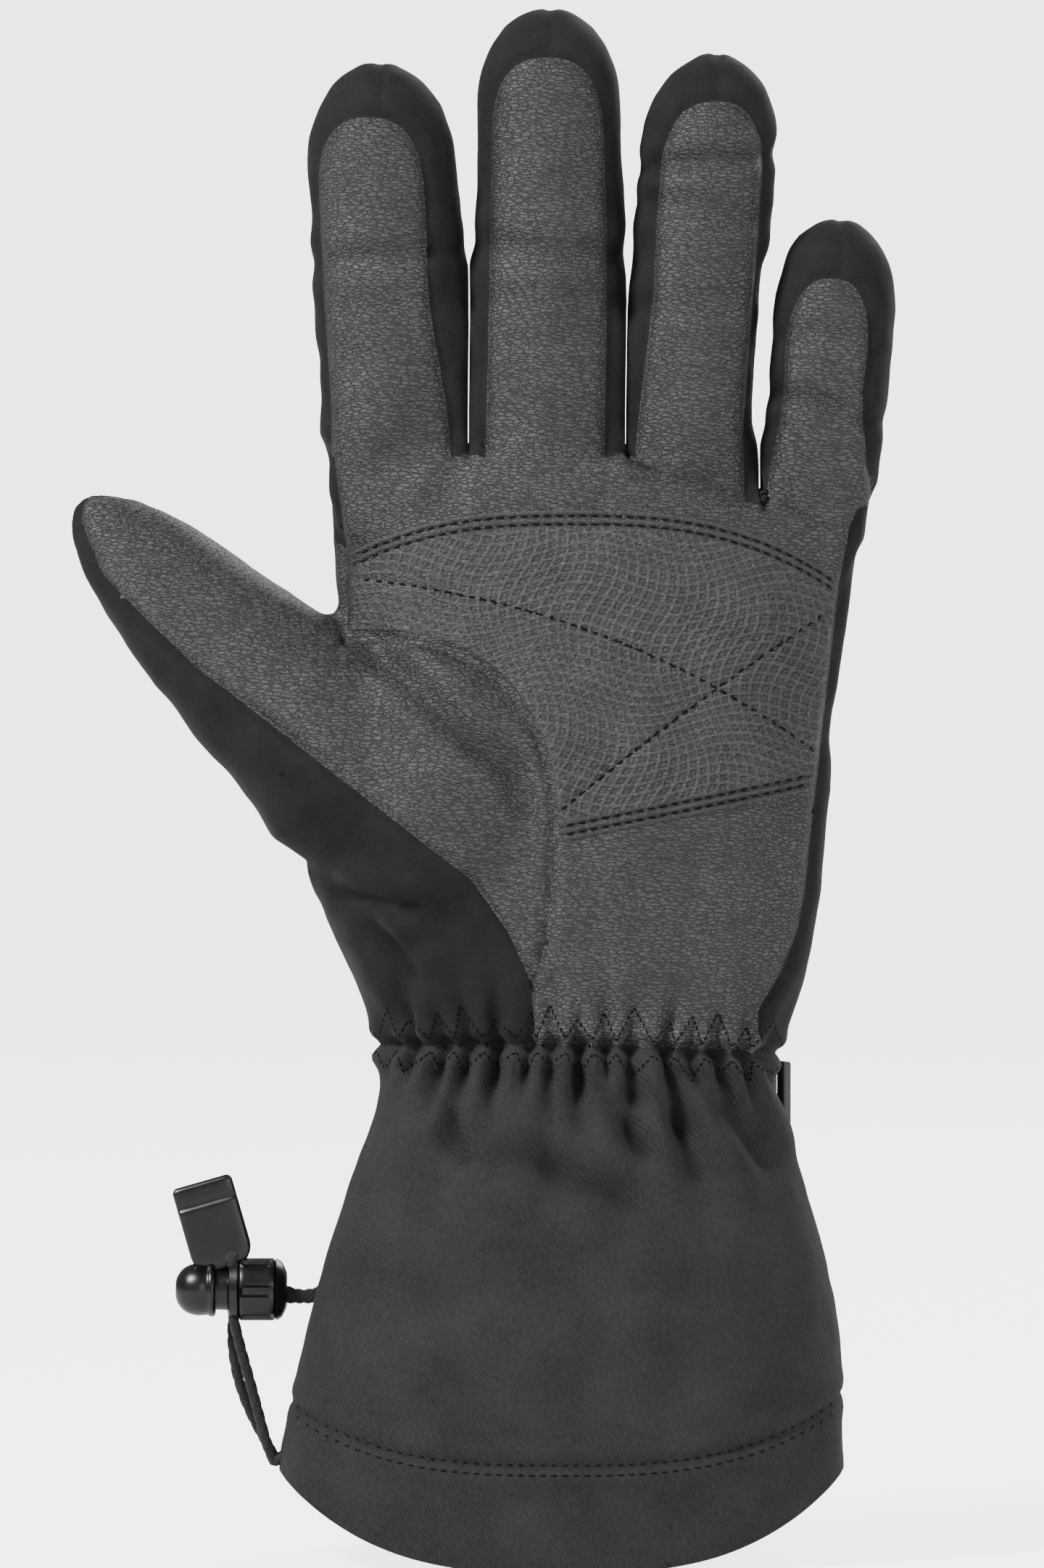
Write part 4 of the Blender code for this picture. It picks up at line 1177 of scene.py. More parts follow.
def softshell_material():
    """Close-woven stretch shell: matt, with a soft sheen on its folds."""
    m = Shader("softshell_cloth", 0.82)
    wide = m.noise(0.16, 3.0)
    weave = m.maths("MULTIPLY", m.wave(1.35, (1, 0.4, 1)), m.wave(1.35, (1, -0.4, -1)))
    fine = m.noise(2.6, 2.0)
    base = m.ramp(m.sum(m.scaled(wide, 0.5), m.scaled(fine, 0.5)),
                  ((0.3, grey(0.005, 0.03)), (0.7, grey(0.014, 0.03))))
    # Painted shade along the seams and in the bottom of the folds.
    m.colour(m.hollows(base, 0.3))
    m.height(weave, 0.05, 0.5)
    m.height(fine, 0.25, 0.4)
    m.sheen(0.05, 0.4)
    m.dull(0.2)
    return m.material


def twill_material():
    """Cuff cloth: a fine diagonal twill of slightly mottled yarns."""
    m = Shader("cuff_twill", 0.85)
    ribs = m.wave(1.15, (0.75, 0.3, 0.66), 1.1)
    yarn = m.noise(2.2, 2.0, (1.0, 1.0, 0.45))
    flecks = m.noise(5.0, 1.0)
    wide = m.noise(0.08, 2.0)
    tone = m.sum(m.sum(m.scaled(yarn, 0.45), m.scaled(flecks, 0.25)), m.scaled(wide, 0.3))
    # Painted shade along the seams and in the bottom of the folds.
    m.colour(m.hollows(m.ramp(tone, ((0.32, grey(0.012, 0.03)), (0.68, grey(0.032, 0.03)))), 0.3))
    m.height(ribs, 0.07, 0.6)
    m.height(yarn, 0.16, 0.5)
    m.sheen(0.02, 0.35)
    m.dull(0.2)
    return m.material


def plain_weave_material(name, low, high, pitch, sheen):
    """Webbing, lining and elastic: a plain weave of visible threads."""
    m = Shader(name, 0.85)
    over = m.maths("MULTIPLY", m.wave(pitch, (1, 0.9, 0)), m.wave(pitch, (0, 0, 1)))
    fibres = m.noise(3.0, 3.0)
    tone = m.sum(m.scaled(over, 0.2), fibres)
    m.colour(m.ramp(tone, ((0.3, grey(low)), (0.7, grey(high)))))
    m.height(over, 0.1, 0.6)
    m.height(fibres, 0.1, 0.5)
    m.sheen(sheen)
    return m.material


def thread_material():
    m = Shader("sewing_thread", 0.6)
    twist = m.wave(2.6, (1, 0.3, 1))
    m.colour(m.ramp(m.noise(1.5, 2.0), ((0.3, grey(0.002)), (0.7, grey(0.005)))))
    m.height(twist, 0.06, 0.6)
    m.dull(0.12)
    return m.material


def moulded_material(name, low, high, roughness, texture, on_cad=False):
    """Moulded nylon: faint flow marks, a fine spark texture and brighter edges."""
    m = Shader(name, roughness, on_cad)
    flow = m.noise(0.35, 3.0, (1, 1, 0.4))
    spark = m.noise(7.0, 2.0)
    base = m.ramp(flow, ((0.35, grey(low)), (0.65, grey(high))))
    m.colour(m.edges(base, grey(high * 2.2)))
    m.rough(m.sum(m.scaled(flow, 0.16), roughness - 0.08))
    m.height(spark, texture, 0.5)
    return m.material


def steel_material():
    m = Shader("drawn_wire", 0.3, on_cad=True)
    m.surface.inputs["Metallic"].default_value = 1.0
    marks = m.noise(1.2, 3.0, (1, 6, 6))
    m.colour(m.ramp(marks, ((0.3, grey(0.42)), (0.7, grey(0.66)))))
    m.rough(m.sum(m.scaled(marks, 0.2), 0.2))
    m.height(marks, 0.02, 0.4)
    return m.material


def film_material():
    m = Shader("breathable_film", 0.4)
    mottled = m.noise(1.4, 3.0)
    m.colour(m.ramp(mottled, ((0.3, grey(0.62, -0.01)), (0.7, grey(0.78, -0.01)))))
    m.height(mottled, 0.1, 0.4)
    return m.material


def wadding_material():
    m = Shader("fibre_wadding", 0.95)
    fibres = m.noise(1.8, 6.0, (1, 1, 1), 1.5)
    m.colour(m.ramp(fibres, ((0.3, grey(0.55)), (0.7, grey(0.82)))))
    m.height(fibres, 0.6, 0.8)
    m.sheen(0.3)
    return m.material


MATERIALS = {
    "leather": leather_material("palm_leather_grain", 0.033),
    "thumb_leather": leather_material("thumb_leather_grain", 0.033),
    "patch": leather_material("grip_leather_grain", 0.032, True),
    "softshell": softshell_material(),
    "twill": twill_material(),
    "lining": plain_weave_material("brushed_lining", 0.012, 0.024, 1.0, 0.4),
    "webbing": plain_weave_material("woven_webbing", 0.004, 0.010, 0.9, 0.1),
    "braid": plain_weave_material("braided_cord", 0.003, 0.009, 1.2, 0.1),
    "thread": thread_material(),
    "moulded": moulded_material("black_nylon", 0.0012, 0.0028, 0.3, 0.012),
    "buckle": moulded_material("grey_nylon", 0.008, 0.014, 0.42, 0.03, on_cad=True),
    "steel": steel_material(),
    "film": film_material(),
    "wadding": wadding_material(),
}


def dress(obj, look):
    """Gives a piece its material and rest places."""
    mesh = obj.data
    mesh.materials.clear()
    mesh.materials.append(MATERIALS[look])
    if "rest" not in mesh.attributes:
        keep_rest_place(mesh)
    return obj


# ------------------------------------------------------------ pieces of each zone


def bend_base(obj):
    """Bakes a piece's transform into its mesh; the base zone runs from the cuff to the hand, across the wrist."""
    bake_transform(obj)


def bend_zone(obj, zone):
    """Works out the ends of the joint of a piece's zone, then bakes the piece's transform into its mesh."""
    if zone == "base":
        bend_base(obj)
        return
    finger, part = zone.split("_")
    if finger == "thumb":
        if part == "low":
            ends = (-6.0, 8.0)
        else:
            ends = (15.0, 32.0)
        low, high = (to_frame(THUMB_ROOT + THUMB_ALONG * s) for s in ends)
    else:
        digit = DIGITS[finger]
        if part == "low":
            base = digit.knuckle
            low = base + np.array((0, 0, -2.8 if finger != "ring" else 1.0))
            high = base + np.array((0, 0, 12.5))
            if finger == "ring":
                lean = np.array((0.39, 0, 0.92))
                low = np.array((23.8, 0, 217.3)) + lean
                high = low + lean * 15.0
        else:
            low = digit.middle - np.array((0, 0, 8.0))
            high = digit.middle + np.array((0, 0, 8.0))
        low, high = to_frame(low), to_frame(high)
    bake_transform(obj)


# ------------------------------------------------------------ solids from the skin


class Cloth:
    """The triangles of a skin, ready to be cut into closed layers."""

    def __init__(self, obj):
        mesh = obj.data
        self.points = to_glove(coordinates(mesh))
        self.normals = normals(mesh)
        tri = np.zeros(len(mesh.polygons) * 3, int)
        mesh.polygons.foreach_get("vertices", tri)
        self.triangles = tri.reshape(-1, 3)

    def layer(self, name, chosen, look, outer=0.0, thickness=0.8):
        """A closed solid from some triangles: its outer face, inner face and rim."""
        tri = self.triangles[chosen]
        used, remap = np.unique(tri, return_inverse=True)
        tri = remap.reshape(-1, 3)
        p, n = self.points[used], self.normals[used]
        top = p - n * outer
        bottom = p - n * (outer + thickness)
        count = len(used)
        edges = np.concatenate([tri[:, (0, 1)], tri[:, (1, 2)], tri[:, (2, 0)]])
        key = edges[:, 0].astype(np.int64) * count + edges[:, 1]
        back = edges[:, 1].astype(np.int64) * count + edges[:, 0]
        rim = edges[~np.isin(key, back)]
        faces = tri.tolist() + (tri[:, ::-1] + count).tolist()
        faces += [(b, a, a + count, b + count) for a, b in rim.tolist()]
        obj = new_object(name, to_frame(np.concatenate([top, bottom])), faces)
        obj.data.shade_smooth()
        shading = np.concatenate([n, -n])
        obj.data.normals_split_custom_set_from_vertices([tuple(v) for v in shading])
        return dress(obj, look)


def tidy_islands(label, triangles, smallest):
    """Gives small islands of a label to the label around them."""
    edge = np.concatenate([triangles[:, (0, 1)], triangles[:, (1, 2)], triangles[:, (2, 0)]])
    edge.sort(axis=1)
    owner = np.tile(np.arange(len(triangles)), 3)
    order = np.lexsort((edge[:, 1], edge[:, 0]))
    edge, owner = edge[order], owner[order]
    same = (edge[1:] == edge[:-1]).all(1)
    a, b = owner[:-1][same], owner[1:][same]
    label = label.copy()
    for _ in range(3):
        group = np.arange(len(triangles))
        joined = label[a] == label[b]
        ja, jb = a[joined], b[joined]
        while True:
            low = np.minimum(group[ja], group[jb])
            before = group.copy()
            np.minimum.at(group, ja, low)
            np.minimum.at(group, jb, low)
            group = group[group]
            if (group == before).all():
                break
        size = np.bincount(group, minlength=len(triangles))
        small = size[group] < smallest
        if not small.any():
            break
        across = ~joined
        for one, other in ((a[across], b[across]), (b[across], a[across])):
            swap = small[one] & ~small[other]
            label[one[swap]] = label[other[swap]]
    return label


skin, pattern = shaped_skin()
cloth = Cloth(skin)
bpy.data.objects.remove(skin, do_unlink=True)
centres = pattern[cloth.triangles].mean(1)
above_hem = centres[:, 2] > hem_edge(centres[:, 0])
print("skin triangles", len(cloth.triangles))
fabric = fabric_of(centres)
zone = zone_of(centres)
zone[fabric == TWILL] = 0
combined = tidy_islands(zone * 4 + fabric, cloth.triangles, 60)
zone, fabric = combined // 4, combined % 4

STANDS_FOR = {
    ("base", "twill"): ("cuff_front_panel", "cuff_back_panel", "hem_band"),
    ("base", "leather"): ("palm_leather",),
    ("base", "thumb_leather"): ("thenar_leather", "thumb_palm_root"),
    ("base", "softshell"): (
        "back_shell", "thumb_back_root", "fork_index_middle", "fork_middle_ring", "fork_ring_little",
    ),
    ("thumb_low", "thumb_leather"): ("thumb_palm_lower",),
    ("thumb_low", "softshell"): ("thumb_back_lower",),
    ("thumb_up", "thumb_leather"): ("thumb_palm_upper",),
    ("thumb_up", "softshell"): ("thumb_back_upper",),
}
for f in FINGERS:
    STANDS_FOR[(f + "_low", "leather")] = (f + "_palm_lower",)
    STANDS_FOR[(f + "_low", "softshell")] = (f + "_back_lower",)
    STANDS_FOR[(f + "_up", "leather")] = (f + "_palm_upper",)
    STANDS_FOR[(f + "_up", "softshell")] = (f + "_back_upper",)

for z_index, zone_name in enumerate(ZONES):
    for f_index, fabric_name in enumerate(FABRICS):
        chosen = (zone == z_index) & (fabric == f_index) & above_hem
        if not chosen.any():
            continue
        piece = cloth.layer(zone_name + "_" + fabric_name, chosen, fabric_name)
        bend_zone(piece, zone_name)
        nodes = STANDS_FOR.get((zone_name, fabric_name))
        print(zone_name, fabric_name, int(chosen.sum()), nodes)
        if nodes:
            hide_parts(*nodes)


# ------------------------------------------------------------ inner layers

INNER_FACES = 0.34


def inner_cloth():
    """A coarser, smoother copy of the fused skin for the layers inside it."""
    obj = fused_skin()
    set_coordinates(obj.data, to_frame(unspread(to_glove(coordinates(obj.data)))))
    less = obj.modifiers.new("fewer", "DECIMATE")
    less.ratio = INNER_FACES
    less.use_collapse_triangulate = True
    applied(obj)
    bm = bmesh.new()
    bm.from_mesh(obj.data)
    bmesh.ops.triangulate(bm, faces=bm.faces)
    bm.to_mesh(obj.data)
    bm.free()
    made = Cloth(obj)
    bpy.data.objects.remove(obj, do_unlink=True)
    return made


def centres_of(layers):
    return layers.points[layers.triangles].mean(1)


inside = inner_cloth()
inside_at = centres_of(inside)
inside_zone = tidy_islands(zone_of(inside_at), inside.triangles, 20)
inside_low = inside.points[inside.triangles][:, :, 2].min(1)
inside_high = inside.points[inside.triangles][:, :, 2].max(1)
hand_part = (inside_zone == 0) & (inside_low > WRIST_Z + 9)
cuff_part = (inside_zone == 0) & (inside_high < WRIST_Z - 1)
seam_z = hem_seam(inside_at[:, 0])


def inner_layer(name, chosen, look, depth, thickness, zone_name, *nodes):
    piece = inside.layer(name, chosen, look, depth, thickness)
    bend_zone(piece, zone_name)
    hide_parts(*nodes)


inner_layer("waterproof_film", hand_part, "film", 2.3, 0.25, "base", "waterproof_membrane")
inner_layer("hand_wadding", hand_part, "wadding", 2.8, 1.8, "base", "hand_insulation", "thumb_liner_root")
inner_layer("hand_lining_cloth", hand_part, "lining", 5.2, 0.8, "base", "hand_lining")
inner_layer("cuff_lining_cloth", cuff_part & (inside_low > seam_z), "lining", 4.6, 0.8, "base",
            "cuff_lining")
in_hem = (inside_high < seam_z + 2) & (inside_low > hem_edge(inside_at[:, 0]) + 0.6)
inner_layer("hem_facing_cloth", cuff_part & in_hem, "lining", 5.6, 1.0, "base", "hem_facing")
in_elastic = (inside_at[:, 2] > WRIST_Z - 15) & (inside_at[:, 2] < WRIST_Z - 7)
inner_layer("gathering_elastic", in_elastic, "webbing", 5.6, 1.1, "base", "wrist_elastic")
for k, f in enumerate(FINGERS):
    for part, node, index in (("low", "lower", 1 + k), ("up", "upper", 5 + k)):
        chosen = inside_zone == index
        inner_layer(f"{f}_{part}_wadding", chosen, "wadding", 3.4, 1.6, f"{f}_{part}", f"{f}_liner_{node}")
for part, node, index in (("low", "lower", 9), ("up", "upper", 10)):
    chosen = inside_zone == index
    inner_layer(f"thumb_{part}_wadding", chosen, "wadding", 2.0, 1.8, f"thumb_{part}", f"thumb_liner_{node}")


# ------------------------------------------------------------ grip patch

surface = BVHTree.FromPolygons(to_frame(cloth.points).tolist(), cloth.triangles.tolist())
RAY_START = -90.0


def on_front(x, z):
    """Place and outward normal of the skin's palm side at x and z, in millimetres."""
    start = to_frame((x, RAY_START, z))
    hit, normal, _, _ = surface.ray_cast(Vector(start), Vector((0, 1, 0)))
    if hit is None:
        return None
    return to_glove(hit), np.array(normal if normal.y < 0 else -normal)


PATCH_HALF_WIDTH = 54.3
PATCH_STEP = 0.33
PATCH_RISE = 0.45
CELL_PITCH = 2.0


def patch_top(x):
    return 211.0 - 14.6 * (np.abs(x) / PATCH_HALF_WIDTH) ** 2.7


def patch_bottom(x):
    return 144.0 + 0.1985 * (x + 4.1)


def patch_distance(p):
    """Above 0 inside the grip patch, in millimetres from its edge."""
    x, _, z = p.T
    right = ramp(z, SIDE_Z, SIDE_X) - ramp(z, *PALM_RIGHT_OFFSET) - 0.9 - x
    left = x - ramp(z, *PALM_LEFT) - 0.9
    edges = np.stack([patch_top(x) - z, z - patch_bottom(x), left, right, thenar_distance(p) - 0.9])
    return edges.min(0)


def patch_rows_distance(p):
    """Distance from the upper or lower edge, which carry the rows of stitches."""
    return np.minimum(patch_top(p[:, 0]) - p[:, 2], p[:, 2] - patch_bottom(p[:, 0]))


def rhombus_relief(x, z):
    """Sunken cells with a low raised middle, in a raised net of wavy lines."""
    bent_x = x + 3.0 * np.sin((z + 0.35 * x) / 5.7 + 0.4)
    bent_z = z + 2.3 * np.sin((x - 0.3 * z) / 6.4 + 1.1)
    u, v = bent_x / CELL_PITCH, bent_z / CELL_PITCH
    edge = np.minimum(np.abs(u - np.round(u)), np.abs(v - np.round(v))) * CELL_PITCH
    net = 1 - smoothstep(edge, 0.18, 0.4)
    middle = smoothstep(edge, 0.5, 0.75)
    return -0.22 + 0.26 * net + 0.15 * middle


def grip_patch():
    low_x, high_x = -47.5, 59.0
    low_z, high_z = 140.0, 213.0
    xs = np.arange(low_x, high_x, PATCH_STEP)
    zs = np.arange(low_z, high_z, PATCH_STEP)
    coarse_x = np.arange(low_x, high_x + 1.5, 1.2)
    coarse_z = np.arange(low_z, high_z + 1.5, 1.2)
    depth = np.full((len(coarse_z), len(coarse_x)), np.nan)
    for j, z in enumerate(coarse_z):
        for i, x in enumerate(coarse_x):
            found = on_front(x, z)
            if found:
                depth[j, i] = found[0][1]
    depth = np.where(np.isnan(depth), 0.0, depth)
    gx, gz = np.meshgrid(xs, zs)
    fx = np.clip((gx - low_x) / 1.2, 0, len(coarse_x) - 1.001)
    fz = np.clip((gz - low_z) / 1.2, 0, len(coarse_z) - 1.001)
    ix, iz = fx.astype(int), fz.astype(int)
    tx, tz = fx - ix, fz - iz
    y = (
        depth[iz, ix] * (1 - tx) * (1 - tz)
        + depth[iz, ix + 1] * tx * (1 - tz)
        + depth[iz + 1, ix] * (1 - tx) * tz
        + depth[iz + 1, ix + 1] * tx * tz
    )
    p = np.stack([gx, y, gz], -1).reshape(-1, 3)
    n = len(xs)
    index = np.arange(len(p)).reshape(len(zs), n)
    a, b, c, d = index[:-1, :-1], index[:-1, 1:], index[1:, 1:], index[1:, :-1]
    tri = np.concatenate([np.stack(q, -1).reshape(-1, 3) for q in ((a, b, c), (a, c, d))])
    edges = np.concatenate([tri[:, (0, 1)], tri[:, (1, 2)], tri[:, (2, 0)]])
    inside_by = patch_distance(p)
    p = snapped(p, edges, inside_by, np.full(len(p), True))
    keep = (patch_distance(p[tri].mean(1).reshape(-1, 3))) > 0
    tri = tri[keep]
    used, remap = np.unique(tri, return_inverse=True)
    tri = remap.reshape(-1, 3)
    p = p[used]
    inside_by = patch_distance(p)
    slope = np.zeros_like(p)
    corners = p[tri]
    face_normal = np.cross(corners[:, 1] - corners[:, 0], corners[:, 2] - corners[:, 0])
    for k in range(3):
        np.add.at(slope, tri[:, k], face_normal)
    slope /= np.linalg.norm(slope, axis=1, keepdims=True) + 1e-9
    if slope[:, 1].mean() > 0:
        slope = -slope
        tri = tri[:, ::-1]
    rise = -0.2 + (PATCH_RISE + 0.2) * smoothstep(inside_by, 0.0, 0.8)
    rows_by = patch_rows_distance(p)
    rise = rise - 0.34 * bump(rows_by - 1.5, 0.55) - 0.3 * bump(rows_by - 3.2, 0.5)
    flat = smoothstep(inside_by, 0.5, 1.1) * smoothstep(rows_by, 3.6, 4.4)
    rise = rise + rhombus_relief(p[:, 0], p[:, 2]) * flat
    for path in crossing_seams():
        rise = rise - 0.3 * bump(distance_to_path(p, path), 0.6)
    # Painted shade: the tone follows the relief, darker in the sunken cells and along the sunken stitch rows, lighter
    # on the raised net.
    tone = 0.5 + (rhombus_relief(p[:, 0], p[:, 2]) + 0.09) * 2.3 * flat
    patch = Cloth.__new__(Cloth)
    patch.tone = np.clip(tone - 0.5 * bump(rows_by - 1.5, 0.6) - 0.5 * bump(rows_by - 3.2, 0.5), 0, 1)
    patch.points = p + slope * rise[:, None]
    patch.triangles = tri
    patch.normals = slope
    return patch


def bezier(a, b, c, steps=40):
    t = np.linspace(0, 1, steps)[:, None]
    return (1 - t) ** 2 * np.array(a) + 2 * t * (1 - t) * np.array(b) + t**2 * np.array(c)


def crossing_seams():
    """Two stitched lines that cross on the grip patch, as x and z."""
    return (
        bezier((-45.2, 197.1), (10.0, 192.0), (50.6, 160.7)),
        bezier((-4.1, 149.4), (25.0, 174.0), (54.0, 192.0)),
    )


def distance_to_path(p, path):
    """Distance of each point from a path in the xz plane."""
    tree = KDTree(len(path) * 8)
    fine = np.stack([np.interp(np.linspace(0, len(path) - 1, len(path) * 8), np.arange(len(path)), path[:, k])
                     for k in range(2)], 1)
    for i, (x, z) in enumerate(fine):
        tree.insert((x, 0, z), i)
    tree.balance()
    return np.array([tree.find((x, 0, z))[2] for x, z in zip(p[:, 0], p[:, 2])])


patch = grip_patch()
patch_tri = patch.triangles
corner = patch.points[patch_tri]
raw = np.cross(corner[:, 1] - corner[:, 0], corner[:, 2] - corner[:, 0])
shade = np.zeros_like(patch.points)
for k in range(3):
    np.add.at(shade, patch_tri[:, k], raw)
shade /= np.linalg.norm(shade, axis=1, keepdims=True) + 1e-9
patch.normals = shade
patch_piece = patch.layer("grip_patch_leather", np.full(len(patch_tri), True), "patch", 0.0, 0.6)
# Painted shade of the embossing, kept per point for the grip leather's colour.
emboss_shade = patch_piece.data.attributes.new("emboss_shade", "FLOAT", "POINT")
emboss_shade.data.foreach_set("value", np.tile(patch.tone, 2).astype(np.float32))
bend_base(patch_piece)
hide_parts("grip_patch")
print("patch triangles", len(patch_tri))


# ------------------------------------------------------------ stitches

patch_surface = BVHTree.FromPolygons(to_frame(patch.points).tolist(), patch_tri.tolist())


def on_top(x, z):
    """Place and normal on the patch where it lies, or else on the skin."""
    start = Vector(to_frame((x, RAY_START, z)))
    hit, normal, _, _ = patch_surface.ray_cast(start, Vector((0, 1, 0)))
    skin_hit = on_front(x, z)
    if hit is not None:
        return to_glove(hit), skin_hit[1] if skin_hit else np.array(normal)
    return skin_hit


def resample(path, spacing):
    """Points at an even spacing along a path."""
    steps = np.linalg.norm(np.diff(path, axis=0), axis=1)
    along = np.concatenate([[0], np.cumsum(steps)])
    at = np.arange(spacing / 2, along[-1], spacing)
    return np.stack([np.interp(at, along, path[:, k]) for k in range(path.shape[1])], 1)


STITCH_SIDES = 6
STITCH_RINGS = ((-1.0, 0.0), (-0.86, 0.62), (-0.4, 1.0), (0.4, 1.0), (0.86, 0.62), (1.0, 0.0))


def stitch_mesh(stitches, half_length, radius, sink):
    """Elongated thread beads: list of (place, direction, normal), in millimetres."""
    points, faces = [], []
    for place, ahead, normal in stitches:
        ahead = ahead - normal * (ahead @ normal)
        ahead = ahead / (np.linalg.norm(ahead) + 1e-9)
        side = np.cross(normal, ahead)
        base = len(points)
        middle = place - normal * sink
        for reach, size in STITCH_RINGS:
            dip = normal * (-0.35 * radius * reach**4)
            for k in range(STITCH_SIDES if size else 1):
                turn = 2 * math.pi * k / STITCH_SIDES
                off = side * math.cos(turn) * radius * size + normal * math.sin(turn) * radius * size
                points.append(middle + ahead * half_length * reach + off + dip)
        ring = [base] + [base + 1 + STITCH_SIDES * r for r in range(4)] + [base + 1 + STITCH_SIDES * 4]
        for k in range(STITCH_SIDES):
            n = (k + 1) % STITCH_SIDES
            faces.append((ring[0], ring[1] + n, ring[1] + k))
            for r in (1, 2, 3):
                faces.append((ring[r] + k, ring[r] + n, ring[r + 1] + n, ring[r + 1] + k))
            faces.append((ring[5], ring[4] + k, ring[4] + n))
    return points, faces


def stitches_along(path, spacing, find=on_top):
    """Places, directions and normals of stitches along an xz path on the palm side."""
    out = []
    marks = resample(path, spacing)
    for i, (x, z) in enumerate(marks):
        before, after = marks[max(i - 1, 0)], marks[min(i + 1, len(marks) - 1)]
        found = find(x, z)
        if found is None:
            continue
        step = after - before
        out.append((found[0], np.array((step[0], 0, step[1])), found[1]))
    return out


def sewn(name, stitches, zone_name, half_length=0.85, radius=0.26, sink=0.02):
    if not stitches:
        return
    points, faces = stitch_mesh(stitches, half_length, radius, sink)
    obj = new_object(name, to_frame(points), faces)
    obj.data.shade_smooth()
    dress(obj, "thread")
    bend_zone(obj, zone_name)


def inset_path(distance, along, inwards):
    """Moves the points of a path to where a distance function has a given value."""
    out = []
    for x, z in along:
        for _ in range(4):
            here = float(distance(np.array([[x, -20.0, z]]))[0])
            x += inwards[0] * (here - inwards[2]) * -1
            z += inwards[1] * (here - inwards[2]) * -1
        out.append((x, z))
    return np.array(out)


def patch_rows():
    """The two rows of stitches inside the upper and the lower edge of the grip patch."""
    rows = []
    for inset in (1.5, 3.2):
        x = np.linspace(-44.4, 51.6, 60)
        rows.append(np.stack([x, patch_top(x) - inset], 1))
        x = np.linspace(-3.0, 48.5, 40)
        rows.append(np.stack([x, patch_bottom(x) + inset * 1.03], 1))
    return rows


patch_stitches = []
for row in patch_rows() + list(crossing_seams()):
    inside_row = patch_distance(np.stack([row[:, 0], 0 * row[:, 0], row[:, 1]], 1)) > 0.6
    patch_stitches += stitches_along(row[inside_row], 2.35)
sewn("grip_patch_stitches", patch_stitches, "base")

x = np.linspace(-58.0, 53.0, 90)
hem_row = np.stack([x, hem_seam(x) - 1.9], 1)
sewn("hem_stitches", stitches_along(hem_row, 2.2), "base", 0.75, 0.2)
sewn("hem_seam_stitches", stitches_along(np.stack([x, hem_seam(x) + 0.1], 1), 2.2), "base", 0.6, 0.2)


def zigzag(side):
    """Elastic stitching beside the wrist seam: teeth that point away from it."""
    marks = []
    for k, fold in enumerate(gathers()):
        lean = fold["down_lean"] if side < 0 else fold["up_lean"]
        reach = (3.6 + 1.2 * math.sin(k * 3.3)) if side < 0 else (5.0 + 1.6 * math.sin(k * 2.1))
        base = fold["x"] + lean * 1.2
        seam = float(wrist_height(base))
        marks.append((base - GATHER_PITCH / 2, seam + side * 1.4))
        marks.append((base + lean * reach, seam + side * (1.4 + reach)))
    marks.append((marks[-2][0] + GATHER_PITCH, marks[-2][1]))
    return np.array(marks)


for side, name in ((-1, "cuff_elastic_stitches"), (1, "hand_elastic_stitches")):
    sewn(name, stitches_along(zigzag(side), 1.25), "base", 0.52, 0.2, 0.0)


# ------------------------------------------------------------ strap, cord and hardware


def turned_rings(profile, sides, middle, ripple=None):
    """Rings about the X axis through a point, from (x, radius) pairs; ripple varies the radius."""
    turn = np.linspace(0, 2 * np.pi, sides, endpoint=False)
    rings = []
    for x, radius in profile:
        r = np.full(sides, max(radius, 0.01))
        if ripple:
            r = r - ripple(x, turn)
        rings.append(np.stack([np.full(sides, x), middle[1] + r * np.cos(turn), middle[2] + r * np.sin(turn)], 1))
    return rings


def solid(name, rings, look, crease_angle=35):
    points, faces = loft(rings)
    obj = new_object(name, to_frame(points), faces)
    bm = bmesh.new()
    bm.from_mesh(obj.data)
    bmesh.ops.remove_doubles(bm, verts=bm.verts, dist=0.02 * MM)
    bmesh.ops.recalc_face_normals(bm, faces=bm.faces)
    bm.to_mesh(obj.data)
    bm.free()
    obj.data.shade_smooth()
    obj.data.set_sharp_from_angle(angle=math.radians(crease_angle))
    return dress(obj, look)


def smooth_profile(points, steps=4):
    """Extra points along a profile, eased so that its corners are soft."""
    p = np.array(points, float)
    for _ in range(2):
        fine = [p[0]]
        for a, b in zip(p, p[1:]):
            fine += [a * 0.75 + b * 0.25, a * 0.25 + b * 0.75]
        p = np.array(fine + [p[-1]])
    return p


LOCK_LOW, LOCK_HIGH = (to_glove(corner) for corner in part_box("lock_body"))
LOCK_MIDDLE = (LOCK_LOW + LOCK_HIGH) / 2
KNOB_LOW = to_glove(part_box("lock_button")[0])
STRAND_Y = 2.7
STRAND_X = to_glove(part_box("tail_cord_front")[0])[0] + 1.1
CORD_RADIUS = 1.1


def lock_button():
    """A smooth knob with a rim and a hollow skirt, on a stem that ends in the gripping disc."""
    x = KNOB_LOW[0]
    outer = smooth_profile(
        ((x, 0), (x + 0.1, 2.4), (x + 1.8, 4.6), (x + 4.4, 5.4), (x + 6.5, 5.1), (x + 7.0, 5.5), (x + 7.8, 5.5), (x + 8.1, 5.0))
    )
    inner = [(x + 8.0, 4.6), (x + 5.5, 4.5), (x + 5.4, 1.3)]
    disc = LOCK_LOW[0] + 5.6
    inner += [(disc, 1.3), (disc + 0.1, 3.4), (disc + 1.1, 3.4), (disc + 1.2, 0.01)]
    rings = turned_rings(list(outer) + inner, 40, LOCK_MIDDLE)
    obj = solid("cord_lock_button", rings, "moulded")
    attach(obj, "button")
    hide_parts("lock_button")


